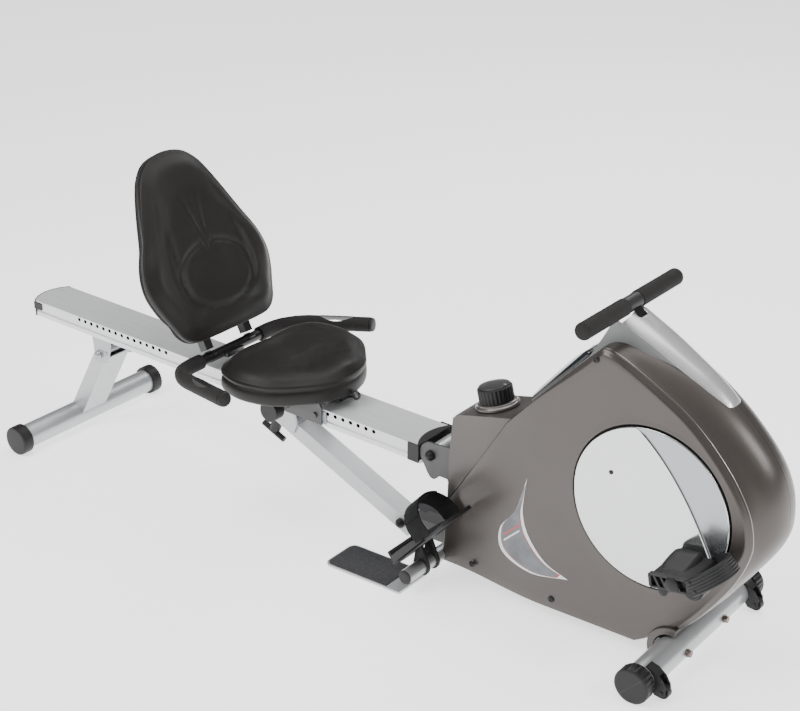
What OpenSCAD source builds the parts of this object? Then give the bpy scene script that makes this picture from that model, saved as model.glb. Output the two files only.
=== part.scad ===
// Recumbent rower: folding rail machine with a sliding seat, a rowing handle on a strap and a pedal crank.
// Lengths are in millimetres. +X runs towards the drive housing, +Y to a rider's left, +Z up.
// Stations along X are given from the rear stabilizer's axis, and at_centre() moves them to the part's frame.

/* [Rail] */
// Length of the aluminium rail
rail_l = 1219; // [1150:1:1230]
// Width of the rail
rail_w = 113.5; // [110:0.5:114]
// Height of the rail
rail_h = 40; // [38:1:42]
// Fall of the rail towards the housing, in degrees
rail_slope = 2.55; // [2.5:0.01:2.6]
// Pitch of the seat lock holes
hole_pitch = 21.62; // [21:0.01:22]
// Radius of a seat lock hole
hole_r = 4.8; // [4.5:0.1:5.2]

/* [Feet] */
// Overall length of each stabilizer over its end caps
stabilizer_l = 470; // [460:1:500]
// Radius of the stabilizer tubes
stabilizer_r = 30; // [28:1:31]
// Station of the front stabilizer's axis
front_foot_x = 1764; // [1760:1:1768]

/* [Seat] */
// Half the width of the seat pad
seat_half_w = 176; // [160:1:180]
// Half the width of the backrest pad
back_half_w = 190; // [180:1:195]
// Height of the backrest pad along its own face
back_h = 439; // [430:1:445]
// Lean of the backrest, in degrees
back_lean = 25.5; // [24:0.5:27]

/* [Drive] */
// Radius of the crank discs
disc_r = 166.5; // [160:0.5:167]
// Distance from the crank axle to a pedal spindle
crank_r = 132; // [125:1:146]
// Angle of the right-hand crank below the horizontal, in degrees
crank_angle = 32.7; // [32:0.1:39]
// Half the width of the housing at its side panels
shell_half_w = 85; // [84:0.5:86]
// Half the width of the rear cover
cover_half_w = 61; // [60:0.5:62]
// Wall of the moulded covers
wall = 3; // [2.5:0.5:3]

/* [Handle] */
// Length of the rowing handle
handle_l = 342; // [330:1:350]
// Radius of the rowing handle's foam
handle_r = 17; // [16:0.5:18]

/* [Hidden] */

$fn = 64;
cut = 1;             // how far a cutting solid runs past a face
gap = 0.3;           // space between curved faces of different moving pieces
fit = 0.06;          // radial clearance of a pin in its bore

// ends of the whole machine, and the middle that the part's frame stands on
rear_end_x = -106;
nose_x = 1951;
mid_x = (rear_end_x + nose_x) / 2;

// rail: rear end of its top face, and a frame that runs along it
rail_x0 = -84.7;
rail_z0 = 336.8;
rail_wall = 4;
rear_hole_u = 164.1;      // first of the rear holes, along the rail
rear_holes = 15;
front_hole_u = 861;       // first of the front holes
front_holes = 12;
hole_drop = 8.3;          // depth of the holes under the top face
lock_u = front_hole_u + hole_pitch;   // hole that the seat lock stands over
end_bulge = 21.3;         // how far the rear end cap bows out

// pivots, as [x, z]
hinge = [1166, 268];      // rail hinge on the base
strut_pivot = [1055, 56];
leg_pivot = [126, 235];
foot_axis = [1187, 40];   // foot tube
crank = [1707, 328];
fly = [1440, 195];        // flywheel axle
spool = [1560, 470];

foot_z = 36;              // height of the stabilizer axes
cap_r = 37;
cap_l = 30;
strut_angle = 25.15;      // rise of the strut towards the rear
strut_len = 433;          // from its pivot to its top end
strut_w = 50;
strut_t = 36;
latch_s = 398;            // pull pin, along the strut from its pivot
leg_w = 78;
leg_t = 40;
pin_r = 8;                // pivot bolts
foot_r = 16;              // foot tube
foot_half_l = 179;
ear_y = 50;               // inner face of the hinge ears
ear_t = 5;
plate_x = [970, 1177];    // step plates
plate_y = [90, 189];
plate_t = 5;

pulley_r = 110;           // drive pulley on the crank
fly_pulley_r = 25;
fly_r = 112;
spool_r = 40;
handle = [1603, 693];     // rowing handle's axis

// seat, measured along the rail from its lock pin and up from the rail's top
pad_rear = -160;
pad_nose = 112;
pad_floor = 26;
pad_edge = 80;
pad_top = 94;
roller_r = 10;
roller_u = [-85, 50];     // roller axles, rear and front
cheek_y = 58.5;           // inner face of the carriage's cheeks
cheek_t = 4;
bar_r = 12.7;
grip_r = 16;
post_y = 65;

// ---------- helpers ----------

module at_centre() translate([-mid_x, 0, 0]) children();

// the rail's frame: u along the rail from its rear end, v up from its top face
module on_rail(u = 0, v = 0)
    at_centre() translate([rail_x0, 0, rail_z0]) rotate([0, rail_slope, 0]) translate([u, 0, v]) children();

// the seat's frame: u from the lock pin
module on_seat(u = 0, v = 0) on_rail(lock_u + u, v) children();

// place a child at [x, z]
module at(p, y = 0) at_centre() translate([p[0], y, p[1]]) children();

// cylinder along Y from y0 to y1
module rod_y(r, y0, y1) translate([0, y0, 0]) rotate([-90, 0, 0]) cylinder(r = r, h = y1 - y0);

// tube along Y
module tube_y(r, bore, y0, y1) difference() {
    rod_y(r, y0, y1);
    rod_y(bore, y0 - cut, y1 + cut);
}

// plate in the XZ plane from y0 to y1, outline as [x, z] points
module plate_y(points, y0, y1) translate([0, y1, 0]) rotate([90, 0, 0]) linear_extrude(y1 - y0) polygon(points);

// box from a low corner to a high corner
module block(low, high) translate(low) cube(high - low);

// rectangular tube along +X with its wall
module box_tube(l, w, h, t) difference() {
    block([0, -w / 2, -h / 2], [l, w / 2, h / 2]);
    block([-cut, -w / 2 + t, -h / 2 + t], [l + cut, w / 2 - t, h / 2 - t]);
}

// both sides of the machine
module both_sides() { children(); mirror([0, 1, 0]) children(); }

// outline of a shape moved inwards by d; the points run clockwise in [x, z]
function unit(v) = v / norm(v);
function inset(p, d) = [for (i = [0 : len(p) - 1])
    let (a = p[(i + len(p) - 1) % len(p)], b = p[i], c = p[(i + 1) % len(p)],
         e = unit(b - a), f = unit(c - b), n = [e[1], -e[0]], m = [f[1], -f[0]])
    b + (n + m) * d / (1 + n * m)];

// points of an arc about a centre
function arc(c, r, a0, a1, n) = [for (i = [0 : n]) c + r * [cos(a0 + (a1 - a0) * i / n), sin(a0 + (a1 - a0) * i / n)]];

// dome-headed cap of a pivot bolt, growing towards +Y from y
module bolt_cap(y) translate([0, y, 0]) rotate([-90, 0, 0]) {
    cylinder(r = 11, h = 5);
    translate([0, 0, 5]) intersection() {
        translate([0, 0, -3]) sphere(r = 11.2);
        cylinder(r = 11, h = 9);
    }
}

// ---------- housing outlines, clockwise as [x, z] ----------

seam_low = [1211, 176];
seam_high = [1376, 414];
centre_line = [[1193, 28], seam_low, seam_high, [1580, 622], [1625, 652], [1729, 618], [1800, 573],
    [1862, 519], [1920, 452], [1942, 400], [nose_x, 345], [1946, 305], [1916, 245], [1800, 92], [1681, 25]];
ridge_line = [[1420, 28], [1420, 452], [1572, 618], [1585, 626], [1618, 621], [1702, 577], [1785, 527], [1858, 449],
    [1901, 380], [1914, 327], [1911, 285], [1876, 204], [1775, 75], [1681, 25]];
rear_line = [[1193, 28], seam_low, seam_high, [1420, 452], [1420, 28]];
ridge_y = 68;             // half width at the ridge, where the side panels turn into the hood
boss_r = 184;             // raised ring of the side panel round the crank disc
cover_line = [seam_low, [1213, 202], [1220, 298], [1230, 375], [1238, 384], [1252, 388], seam_high];
cover_open = [[1216, 170], [1216, 202], [1223, 298], [1233, 372], [1240, 381], [1252, 384.8], [1400, 417], [1400, 400]];
cradle_r = 31.5;          // the shells fit closely over the stabilizer tube

// solid of the right half of the drive housing, or of its hollow
module housing_half(d) hull() {
    plate_y(inset(centre_line, d), -26, d > 0 ? cut : 0);
    plate_y(inset(rear_line, d), -cover_half_w + d, 0);
    plate_y(inset(ridge_line, d), -ridge_y + d, 0);
    translate([crank[0], 0, crank[1]]) rod_y(boss_r - d, -shell_half_w + d, -ridge_y, $fn = 48);
}

// line along the seam of the rear cover
seam_angle = atan2(seam_high[1] - seam_low[1], seam_high[0] - seam_low[0]);

module half_shell() at_centre() difference() {
    housing_half(0);
    housing_half(wall);
    translate([crank[0], 0, crank[1]]) rod_y(disc_r + 3.5, -shell_half_w - 10, -60);
    translate([front_foot_x, 0, foot_z]) rod_y(cradle_r, -shell_half_w - 10, cut);
    translate([foot_axis[0], 0, foot_axis[1]]) rod_y(foot_r + 0.6, -shell_half_w - 10, cut);
    // way through the seam into the rear cover
    translate([seam_low[0], 0, seam_low[1]]) rotate([0, -seam_angle, 0])
        block([18, -cover_half_w + 6, -12], [265, cut, 12]);
    // way for the spine at the back, and for the fin on top
    block([1170, -24, 36], [1215, cut, 84]);
    block([1600, -36, 560], [1800, cut, 720]);
    translate([console_at[0], 0, console_at[1]]) rotate([0, -console_tilt, 0]) block([20, -46, -22], [134, cut, 6]);
    // clearance round the stabilizer's saddle
    block([1722, -shell_half_w - 10, 0], [front_foot_x, cut, 61]);
    block([1700, -21, 30], [1724, cut, 62]);
}

// ---------- base ----------

module main_frame() color("dimgray") difference() {
    union() {
        // spine, from the strut fork to the front cross plate
        at_centre() translate([1100, 0, 60]) box_tube(front_foot_x - stabilizer_r - 3 - 1100, 40, 40, 2.5);
        at([front_foot_x, foot_z]) intersection() {
            tube_y(stabilizer_r + 4.5, stabilizer_r + 0.1, -92, 92);
            block([-50, -95, -26], [-8, 95, 24]);
        }
        // tongue that the strut's cheeks turn on
        at_centre() block([strut_pivot[0], -21.5, 41], [1104, 21.5, 71]);
        at(strut_pivot) rod_y(15.2, -21.5, 21.5);
        // post and hinge ears
        at_centre() block([1224.5, -38, 78], [1258, 38, 300]);
        both_sides() at_centre() difference() {
            plate_y(concat(arc(hinge, 29, 200, 80, 10),
                [[1200, 298], [1256, 299], [1256, 205], [1212, 212], [1208, 224], [1188, 225], [1180, 218], [1172, 213],
                    [1163, 215], [1156, 224]]),
                ear_y, ear_y + ear_t);
            translate([hinge[0], 0, hinge[1]]) rod_y(pin_r + fit, ear_y - cut, ear_y + ear_t + cut);
        }
        both_sides() at_centre() block([1222, 37, 230], [1258, ear_y + cut, 296]);
        // crank post and bearing shell
        at(crank) rod_y(24, -29, 29);
        at_centre() plate_y([[1660, 78], [1690, 316], [1724, 316], [1704, 78]], -18, 18);
        // flywheel plates
        both_sides() at_centre() plate_y([[1400, 62], [1420, 210], [1460, 210], [1480, 62]], 19, 25);
        // plates of the magnet carrier's pin
        both_sides() at_centre() plate_y([[1290, 62], [1306, 212], [1330, 212], [1350, 62]], 19, 25);
        // spool arms off the crank post, and the strap guide bar
        both_sides() at_centre() plate_y([[1684, 290], [1545, 440], [1548, 486], [1578, 486], [1712, 330]], 23.5, 28.5);
        both_sides() at_centre() plate_y([[1560, 478], [1636, 655], [1652, 655], [1578, 470]], 23.5, 28.5);
        at([1644, 650]) rod_y(7, -28.5, 28.5);
    }
    at(crank) rod_y(17.5, -30, 30);
    at(fly) rod_y(8 + fit, -26, 26);
    at(magnet_pivot) rod_y(6 + fit, -26, 26);
    at(spool) rod_y(7 + fit, -34, 34);
    at(foot_axis) rod_y(foot_r + 0.03, -60, 60);
    at(strut_pivot) rod_y(pin_r - fit + 0.02, -40, 40);
    at_centre() for (y = [-74, 74]) translate([1700, y, foot_z]) rotate([0, 90, 0]) cylinder(r = 4.2, h = 60);
}

// stabilizer tube about its own middle
module stabilizer_tube() rotate([90, 0, 0]) difference() {
    cylinder(r = stabilizer_r, h = stabilizer_l - 2 * cap_l + 24, center = true);
    cylinder(r = stabilizer_r - 2.5, h = stabilizer_l, center = true);
}

// ribbed end caps of one stabilizer; each stands on a flat
module stabilizer_caps(ribs) both_sides() difference() {
    rod_y(cap_r, stabilizer_l / 2 - cap_l, stabilizer_l / 2);
    rod_y(stabilizer_r + 0.05, stabilizer_l / 2 - cap_l - cut, stabilizer_l / 2 - 17);
    block([-cap_r - cut, stabilizer_l / 2 - cap_l - cut, -cap_r - cut], [cap_r + cut, stabilizer_l / 2 + cut, -foot_z]);
    for (i = [0 : ribs - 1]) rotate([0, i * 360 / ribs, 0])
        translate([cap_r + 1.2, 0, 0]) rod_y(3, stabilizer_l / 2 - cap_l - cut, stabilizer_l / 2 - 8);
}

module front_stabilizer() color("silver") difference() {
    at([front_foot_x, foot_z]) stabilizer_tube();
    at_centre() for (y = [-74, 74]) translate([1700, y, foot_z]) rotate([0, 90, 0]) cylinder(r = 4.2, h = 120);
}

module base_end_caps() color([0.16, 0.15, 0.15]) {
    at([front_foot_x, foot_z]) stabilizer_caps(24);
    both_sides() at(foot_axis) {
        rod_y(foot_r, foot_half_l, foot_half_l + 2.5);
        rod_y(foot_r - 2.6, foot_half_l - 18, foot_half_l);
    }
}

wheel_y = 187;
wheel_x = front_foot_x + 44;
wheel_z = 19;
wheel_r = 14;

// forks that hold the wheels in front of the stabilizer
module wheel_brackets() color([0.16, 0.15, 0.15]) both_sides() at([front_foot_x, 0]) difference() {
    union() {
        for (y = [wheel_y - 11, wheel_y + 7])
            plate_y([[10, 66], [26, 62], [44, 48], [53, 32], [54, 16], [46, 8], [30, 10], [20, 24]], y, y + 4);
        plate_y([[10, 66], [26, 62], [38, 53], [30, 46], [18, 50]], wheel_y - 9, wheel_y + 9);
        translate([wheel_x - front_foot_x, 0, wheel_z]) rod_y(4, wheel_y - 12.5, wheel_y + 12.5);
    }
    translate([0, 0, foot_z]) rod_y(stabilizer_r + 0.05, wheel_y - 20, wheel_y + 20);
}

module transport_wheel(side) color("black") at([wheel_x, wheel_z], side * wheel_y)
    difference() {
        rod_y(wheel_r, -6.6, 6.6);
        rod_y(4 + fit, -11, 11);
        for (y = [-8, 5]) tube_y(11.5, 7, y, y + 3);
    }
module wheel_right() transport_wheel(-1);
module wheel_left() transport_wheel(1);

// hex bolts through the front stabilizer and the dark screws of the housing
module base_fasteners() color([0.25, 0.22, 0.2]) {
    at_centre() for (y = [-74, 74]) translate([0, y, foot_z]) rotate([0, 90, 0]) {
        translate([0, 0, 1722]) cylinder(r = 4, h = 76);
        translate([0, 0, front_foot_x + 31.5]) cylinder(r = 8.5, h = 1.6);
        translate([0, 0, front_foot_x + 33]) cylinder(r = 7.5, h = 6, $fn = 6);
        translate([0, 0, 1721.8]) cylinder(r = 7.5, h = 7.4, $fn = 6);
    }
    both_sides() at_centre() for (p = [[1582, 604], [1281, 52], [1489, 50]])
        translate([p[0], 0, p[1]])
            rod_y(4.5, p[0] < 1300 ? 68.5 : shell_half_w + 0.2, p[0] < 1300 ? 72.5 : shell_half_w + 2);
}

module right_shell() color([0.42, 0.39, 0.37]) half_shell();
module left_shell() color([0.42, 0.39, 0.37]) mirror([0, 1, 0]) half_shell();

module rear_cover() color([0.44, 0.41, 0.39]) at_centre() difference() {
    plate_y(cover_line, -cover_half_w, cover_half_w);
    plate_y(cover_open, -cover_half_w + wall, cover_half_w - wall);
    // clear of the main shells along the seam
    translate([seam_low[0], 0, seam_low[1]]) rotate([0, -seam_angle, 0])
        block([-30, -90, -60], [330, 90, 0.6]);
    // slot for the hinge ears
    block([1200, -ear_y - ear_t - 1, 200], [1228, ear_y + ear_t + 1, 303]);
    // hole for the tension knob's spindle
    knob_frame() translate([0, 0, -20]) cylinder(r = 8, h = 40);
}

// frame of the tension knob, +Z along its spindle
knob_at = [1300, 398.5];
knob_tilt = atan2(seam_high[1] - 388, seam_high[0] - 1252);
module knob_frame() translate([knob_at[0], 0, knob_at[1]]) rotate([0, -knob_tilt, 0]) children();

module knob_base() color("darkgray") at_centre() knob_frame() difference() {
    union() {
        translate([0, 0, 0.2]) cylinder(r = 46.5, h = 7);
        translate([0, 0, 7.2]) cylinder(r = 42, h = 5);
        translate([0, 0, -14]) cylinder(r = 7.9, h = 15);
    }
    translate([0, 0, -20]) cylinder(r = 5 + fit, h = 40);
}

module tension_knob() color([0.1, 0.1, 0.1]) at_centre() knob_frame() difference() {
    union() {
        translate([0, 0, 12.6]) cylinder(r = 37, h = 31);
        translate([0, 0, 43.6]) cylinder(r = 34, h = 5);
        translate([0, 0, -24]) cylinder(r = 5, h = 38);
    }
    for (i = [0 : 35]) rotate([0, 0, i * 10]) translate([38, 0, 12]) cylinder(r = 2, h = 28);
    rotate([0, 0, 90]) translate([28, 0, 46.6]) cylinder(r = 2.5, h = 5);
}

// silver fin over the top of the housing: cross sections along its spine
// [x, z of its edges, half width, crown height, half width of the skirt, depth of the skirt]
fin_path = [[1618, 664, 44, 14, 50, 34], [1690, 632, 37, 14, 50, 40], [1770, 578, 32, 12, 42, 40], [1826, 528, 27, 8, 30, 26]];
fin_tilt = 40;            // fall of the spine towards the nose
module fin_section(f) translate([f[0], 0, f[1]]) rotate([0, fin_tilt, 0]) rotate([90, 0, 90]) linear_extrude(1)
    polygon([[-f[4], -f[5]], [-f[2], 0], [-f[2] * 0.5, f[3] * 0.8], [0, f[3]], [f[2] * 0.5, f[3] * 0.8], [f[2], 0], [f[4], -f[5]]]);
module top_fin() color("silver") at_centre() difference() {
    for (i = [0 : len(fin_path) - 2]) hull() { fin_section(fin_path[i]); fin_section(fin_path[i + 1]); }
    // it rests on the shells
    both_sides() housing_half(-0.3);
    // the mouth that the strap runs through
    plate_y([[1580, 600], [1580, 700], [1640, 700], [1654, 668], [1670, 642], [1670, 600]], -31, 31);
}

// console along the slanted top, in a frame with +X up the slope
console_at = [1412, 452];
console_tilt = 46.4;
module console_frame() at(console_at) rotate([0, -console_tilt, 0]) children();
module console() color([0.12, 0.12, 0.14]) console_frame() difference() {
    union() {
        plate_y(arc([100, -304], 320, 108.2, 71.8, 14), -50, 50);
        block([24, -44, -14], [130, 44, 4]);
    }
    block([40, -34, 8.5], [150, 34, 40]);
    block([28, -38, -20], [126, 38, 6.5]);
    translate([168, 0, 2]) cylinder(r = 9.5, h = 30);
}
module console_screen() color([0.2, 0.25, 0.26]) console_frame() block([40.3, -33.7, 8.6], [149.7, 33.7, 10.2]);
module mode_button() color([0.5, 0.1, 0.1]) console_frame() translate([168, 0, 4.5]) cylinder(r = 9, h = 8);

module foot_tube() color("silver") at(foot_axis) tube_y(foot_r, foot_r - 2.5, -foot_half_l, foot_half_l);

module step_plates() color("silver") both_sides() at_centre() {
    translate([0, 0, 0]) linear_extrude(plate_t) polygon(concat(
        arc([plate_x[0] + 16, plate_y[0] + 16], 16, 270, 180, 6), arc([plate_x[0] + 16, plate_y[1] - 16], 16, 180, 90, 6),
        [[plate_x[1], plate_y[1]], [plate_x[1], plate_y[0]]]));
    difference() {
        block([plate_x[1] - 11, 104, plate_t - 0.5], [plate_x[1] - 1, 116, 36]);
        translate([foot_axis[0], 0, foot_axis[1]]) rod_y(foot_r + 0.02, 100, 120);
    }
}

// pivot bolts of the rail hinge and the strut, with their domed caps
module pivot_bolt(p, half) at(p) {
    rod_y(pin_r - fit, -half, half);
    both_sides() bolt_cap(half - cut);
}
module pivot_bolts() color([0.12, 0.12, 0.12]) {
    pivot_bolt(hinge, ear_y + ear_t + 1.2);
    pivot_bolt(strut_pivot, strut_w / 2 + 1.4);
}

module crank_bearings() color("gainsboro") both_sides() at(crank) tube_y(17.45, 8.5 + fit, 18, 28);

// outline of the belt round both pulleys, grown by g
belt_run = norm(crank - fly);
belt_dir = atan2(crank[1] - fly[1], crank[0] - fly[0]);
belt_wrap = 180 - acos((pulley_r - fly_pulley_r) / belt_run);
function belt_line(g) = concat(
    arc(crank, pulley_r + g, belt_dir - belt_wrap, belt_dir + belt_wrap, 48),
    arc(fly, fly_pulley_r + g, belt_dir + belt_wrap, belt_dir + 360 - belt_wrap, 24));
module drive_belt() color([0.08, 0.08, 0.08]) at_centre() difference() {
    plate_y(belt_line(2.8), 31, 43);
    plate_y(belt_line(0.4), 30, 44);
}

// ---------- crank ----------

// frame of one crank: +X along the arm, outwards is -Y
module crank_side(side) at(crank) rotate([0, side < 0 ? crank_angle : crank_angle + 180, 0])
    mirror([0, side < 0 ? 0 : 1, 0]) children();

module crank_axle() color("dimgray") at(crank) rod_y(8.5, -65.5, 65.5);

module crank_arms() color("silver") for (side = [-1, 1]) crank_side(side) {
    difference() {
        union() {
            block([-108, -77, -11], [crank_r, -66, 11]);
            rod_y(18, -79, -60);
            translate([crank_r, 0, 0]) rod_y(15, -79, -66);
            for (x = [-101, 101]) translate([x, 0, 0]) rod_y(8, -83.8, -76);
        }
        rod_y(8.53, -67, -59);
    }
    translate([crank_r, 0, 0]) rod_y(6, -196, -78);
}

module crank_discs() color([0.8, 0.8, 0.8]) for (side = [-1, 1]) crank_side(side) difference() {
    rod_y(disc_r, -88.5, -84);
    translate([crank_r, 0, 0]) rod_y(9, -90, -83);
    for (x = [-101, 101]) translate([x, 0, 0]) rod_y(3, -90, -83);
}

module drive_pulley() color([0.2, 0.2, 0.2]) at(crank) difference() {
    union() {
        rod_y(pulley_r, 31, 43);
        rod_y(22, 30, 50);
    }
    rod_y(8.5, 29, 51);
    tube_y(pulley_r - 12, 32, 30, 33.5);
    tube_y(pulley_r - 12, 32, 40.5, 51);
    for (i = [0 : 5]) rotate([0, i * 60, 0]) translate([65, 0, 0]) rod_y(18, 30, 44);
}

module flywheel() color([0.35, 0.35, 0.36]) at(fly) difference() {
    union() {
        rod_y(fly_r, -56, -34);
        rod_y(8, -58, 46);
        rod_y(16, -58, -27);
        rod_y(fly_pulley_r, 31, 43);
    }
    tube_y(fly_r - 18, 30, -57, -50);
    for (i = [0 : 3]) rotate([0, i * 90, 0]) translate([62, 0, 0]) rod_y(16, -60, -30);
}

// arc of magnets that swings towards the flywheel's rim on its own pin
magnet_pivot = [1318, 200];
module magnet_carrier() color("silver") at_centre() {
    plate_y(concat(arc(fly, fly_r + 16, 100, 166, 20), arc(fly, fly_r + 4, 166, 100, 20)), -57, -33);
    plate_y([[1309, 196], [1312, 236], [1324, 232], [1325, 196]], -46, -40);
    translate([magnet_pivot[0], 0, magnet_pivot[1]]) rod_y(6, -57, 30);
}

module strap_spool() color([0.3, 0.3, 0.32]) at(spool) {
    rod_y(spool_r, -16, 16);
    for (y = [-19, 16]) rod_y(60, y, y + 3);
    rod_y(7, -31, 31);
}

// ---------- rowing handle ----------

module row_bar() color("dimgray") at(handle) tube_y(11, 9, -handle_l / 2 + 2, handle_l / 2 - 2);
module row_grip() color([0.13, 0.12, 0.12]) both_sides() at(handle) difference() {
    rod_y(handle_r, 23, handle_l / 2);
    rod_y(11.02, 22, handle_l / 2 - 2);
}
module strap_clip() color([0.1, 0.1, 0.1]) at(handle) difference() {
    union() {
        rod_y(15.5, -22, 22);
        block([0, -17, -9], [14, 17, 5]);
    }
    rod_y(11.02, -23, 23);
    plate_y([[8, -9.5], [11, -9.5], [15, -13], [15, -1], [8, -1]], -13.3, 13.3);
}
// the strap: from the clip over the guide bar, then down to the spool
strap_w = 26;
module pull_strap() color([0.05, 0.05, 0.05]) at_centre()
    plate_y(concat([[1614.4, 687.6]], [[1643.6, 660]], arc([1644, 650], 10, 80, 0, 6), [[1600.6, 472]],
        [[1602.6, 472]], arc([1644, 650], 12, 0, 80, 6), [[1645, 662], [1615.6, 689.6]]), -strap_w / 2, strap_w / 2);

// ---------- feet of the rower ----------

// frame of a foot pad: +X from heel to toe, +Z out of the sole, hinged on the foot tube
pad_tilt = 46;
pad_lift = 41;
module foot_frame(side) at(foot_axis) mirror([0, side < 0 ? 0 : 1, 0]) rotate([0, -pad_tilt, 0]) children();

module foot_pad(side) color([0.1, 0.1, 0.1]) foot_frame(side) difference() {
    union() {
        block([-10, -174, pad_lift - 8], [187, -76, pad_lift]);
        block([-10, -174, pad_lift - 8], [-2, -76, pad_lift + 24]);
        for (y = [-174, -82]) block([-10, y, pad_lift - 8], [110, y + 6, pad_lift + 12]);
        for (y = [-126, -92]) hull() {
            rod_y(foot_r + 5, y, y + 8);
            translate([30, 0, pad_lift - 8]) rod_y(6, y, y + 8);
        }
    }
    rod_y(foot_r + 0.08, -180, -70);
}
module foot_pad_right() foot_pad(-1);
module foot_pad_left() foot_pad(1);

// strap arch over the foot, drawn in the pad's cross section
strap_high = 73;
module foot_strap(side) color([0.06, 0.06, 0.06]) foot_frame(side)
    translate([87, -125, pad_lift]) rotate([90, 0, 90]) linear_extrude(52) difference() {
        polygon(concat([[-54, -4]], arc([0, strap_high - 54], 54, 180, 0, 24), [[54, -4]]));
        polygon(concat([[-50, -5]], arc([0, strap_high - 54], 50, 180, 0, 24), [[50, -5]]));
        translate([-60, -10]) square([120, 10 + 0.5]);
    }
module foot_strap_right() foot_strap(-1);
module foot_strap_left() foot_strap(1);

// ---------- pedals ----------

pedal_y = [98, 194];
module pedal_at(side) at([crank[0] - side * crank_r * cos(crank_angle), crank[1] + side * crank_r * sin(crank_angle)])
    mirror([0, side < 0 ? 0 : 1, 0]) rotate([0, -8, 0]) children();
module pedal(side) color([0.1, 0.1, 0.1]) pedal_at(side) difference() {
    union() {
        plate_y([[-46, -12], [-46, 10], [-40, 14], [36, 14], [44, 8], [44, -8], [36, -13], [-38, -14]], -pedal_y[1], -pedal_y[0]);
        // raised inner edge
        plate_y([[-44, 10], [-40, 21], [-28, 25], [16, 24], [26, 18], [30, 10]], -pedal_y[0] - 7, -pedal_y[0]);
        rod_y(14, -pedal_y[1] - 2, -pedal_y[0] + 2);
        // weights under the sole that keep it upright
        plate_y(concat([[-4, -12]], arc([14, -22], 22, 190, 350, 10), [[32, -12]]), -pedal_y[1] + 40, -pedal_y[1] + 84);
        plate_y(concat([[-36, -12]], arc([-26, -22], 10, 190, 350, 8), [[-14, -12]]), -pedal_y[1] + 12, -pedal_y[1] + 34);
    }
    rod_y(6 + fit, -pedal_y[1] - 10, -80);
    block([-34, -pedal_y[1] + 10, 2], [-18, -pedal_y[0] - 12, 20]);
}
module pedal_right() pedal(-1);
module pedal_left() pedal(1);

// ribbed strap over the toes, from one edge of the pedal to the other
module pedal_strap(side) color([0.07, 0.07, 0.07]) pedal_at(side)
    translate([46, -146, 6]) rotate([0, 60, 0]) translate([-17, 0, -6]) rotate([90, 0, 90]) linear_extrude(34) difference() {
        polygon(concat([[-52, -6]], [for (p = arc([0, 0], 52, 180, 0, 24)) [p[0], 1.3 * p[1]]], [[52, -6]]));
        polygon(concat([[-48.3, -7]], [for (p = arc([0, 0], 48.3, 180, 0, 24)) [p[0], 1.32 * p[1]]], [[48.3, -7]]));
    }
module pedal_strap_right() pedal_strap(-1);
module pedal_strap_left() pedal_strap(1);

// ---------- strut ----------

module strut_frame() at(strut_pivot) rotate([0, strut_angle + 180, 0]) mirror([0, 0, 1]) children();
module strut() color("silver") strut_frame() difference() {
    translate([-28, 0, 0]) box_tube(strut_len + 28, strut_w, strut_t, 2.5);
    rod_y(pin_r, -strut_w, strut_w);
    block([-40, -strut_w / 2 + 2.5, -strut_t], [4, strut_w / 2 - 2.5, strut_t]);
    translate([latch_s, 0, -40]) cylinder(r = 7.2, h = 80);
}
module strut_latch() color([0.12, 0.12, 0.12]) strut_frame() translate([latch_s, 0, 0]) {
    translate([0, 0, -strut_t / 2 - 46]) cylinder(r = 6, h = strut_t + 46);
    translate([0, 0, -strut_t / 2 - 46]) cylinder(r = 13, h = 45.4);
    translate([-34, 0, -strut_t / 2 - 54]) rotate([0, 90, 0]) cylinder(r = 7, h = 68);
    translate([0, 0, -strut_t / 2 - 56]) cylinder(r = 8, h = 14);
}

// ---------- rail ----------

rail_section = [
    [-rail_w / 2, 0], [rail_w / 2, 0], [rail_w / 2, -3], [rail_w / 2 - 1.2, -4], [rail_w / 2 - 1.2, -22],
    [rail_w / 2 - 3, -24], [rail_w / 2 - 3, -27], [rail_w / 2, -29], [rail_w / 2, -rail_h],
    [-rail_w / 2, -rail_h], [-rail_w / 2, -29], [-rail_w / 2 + 3, -27], [-rail_w / 2 + 3, -24],
    [-rail_w / 2 + 1.2, -22], [-rail_w / 2 + 1.2, -4], [-rail_w / 2, -3]];
end_arc_r = (rail_w * rail_w / 4 + end_bulge * end_bulge) / (2 * end_bulge);
module bowed_end(grow) translate([end_arc_r - end_bulge, 0, -100]) cylinder(r = end_arc_r + grow, h = 200, $fn = 128);
module rail() color([0.78, 0.79, 0.8]) on_rail() difference() {
    intersection() {
        translate([-end_bulge, 0, 0]) rotate([90, 0, 90]) linear_extrude(rail_l + end_bulge) polygon(rail_section);
        union() { bowed_end(-2.2); block([30, -100, -100], [rail_l + cut, 100, 100]); }
    }
    block([2, -rail_w / 2 + rail_wall + 3, -rail_h + rail_wall], [rail_l + cut, rail_w / 2 - rail_wall - 3, -rail_wall]);
    block([-60, -rail_w / 2 + rail_wall + 3, -rail_h - cut], [3, rail_w / 2 - rail_wall - 3, -rail_wall]);
    for (i = [0 : rear_holes - 1]) translate([rear_hole_u + i * hole_pitch, 0, -hole_drop]) rod_y(hole_r, -rail_w, -30);
    for (i = [0 : front_holes - 1]) translate([front_hole_u + i * hole_pitch, 0, -hole_drop]) rod_y(hole_r, -rail_w, -30);
}

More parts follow.
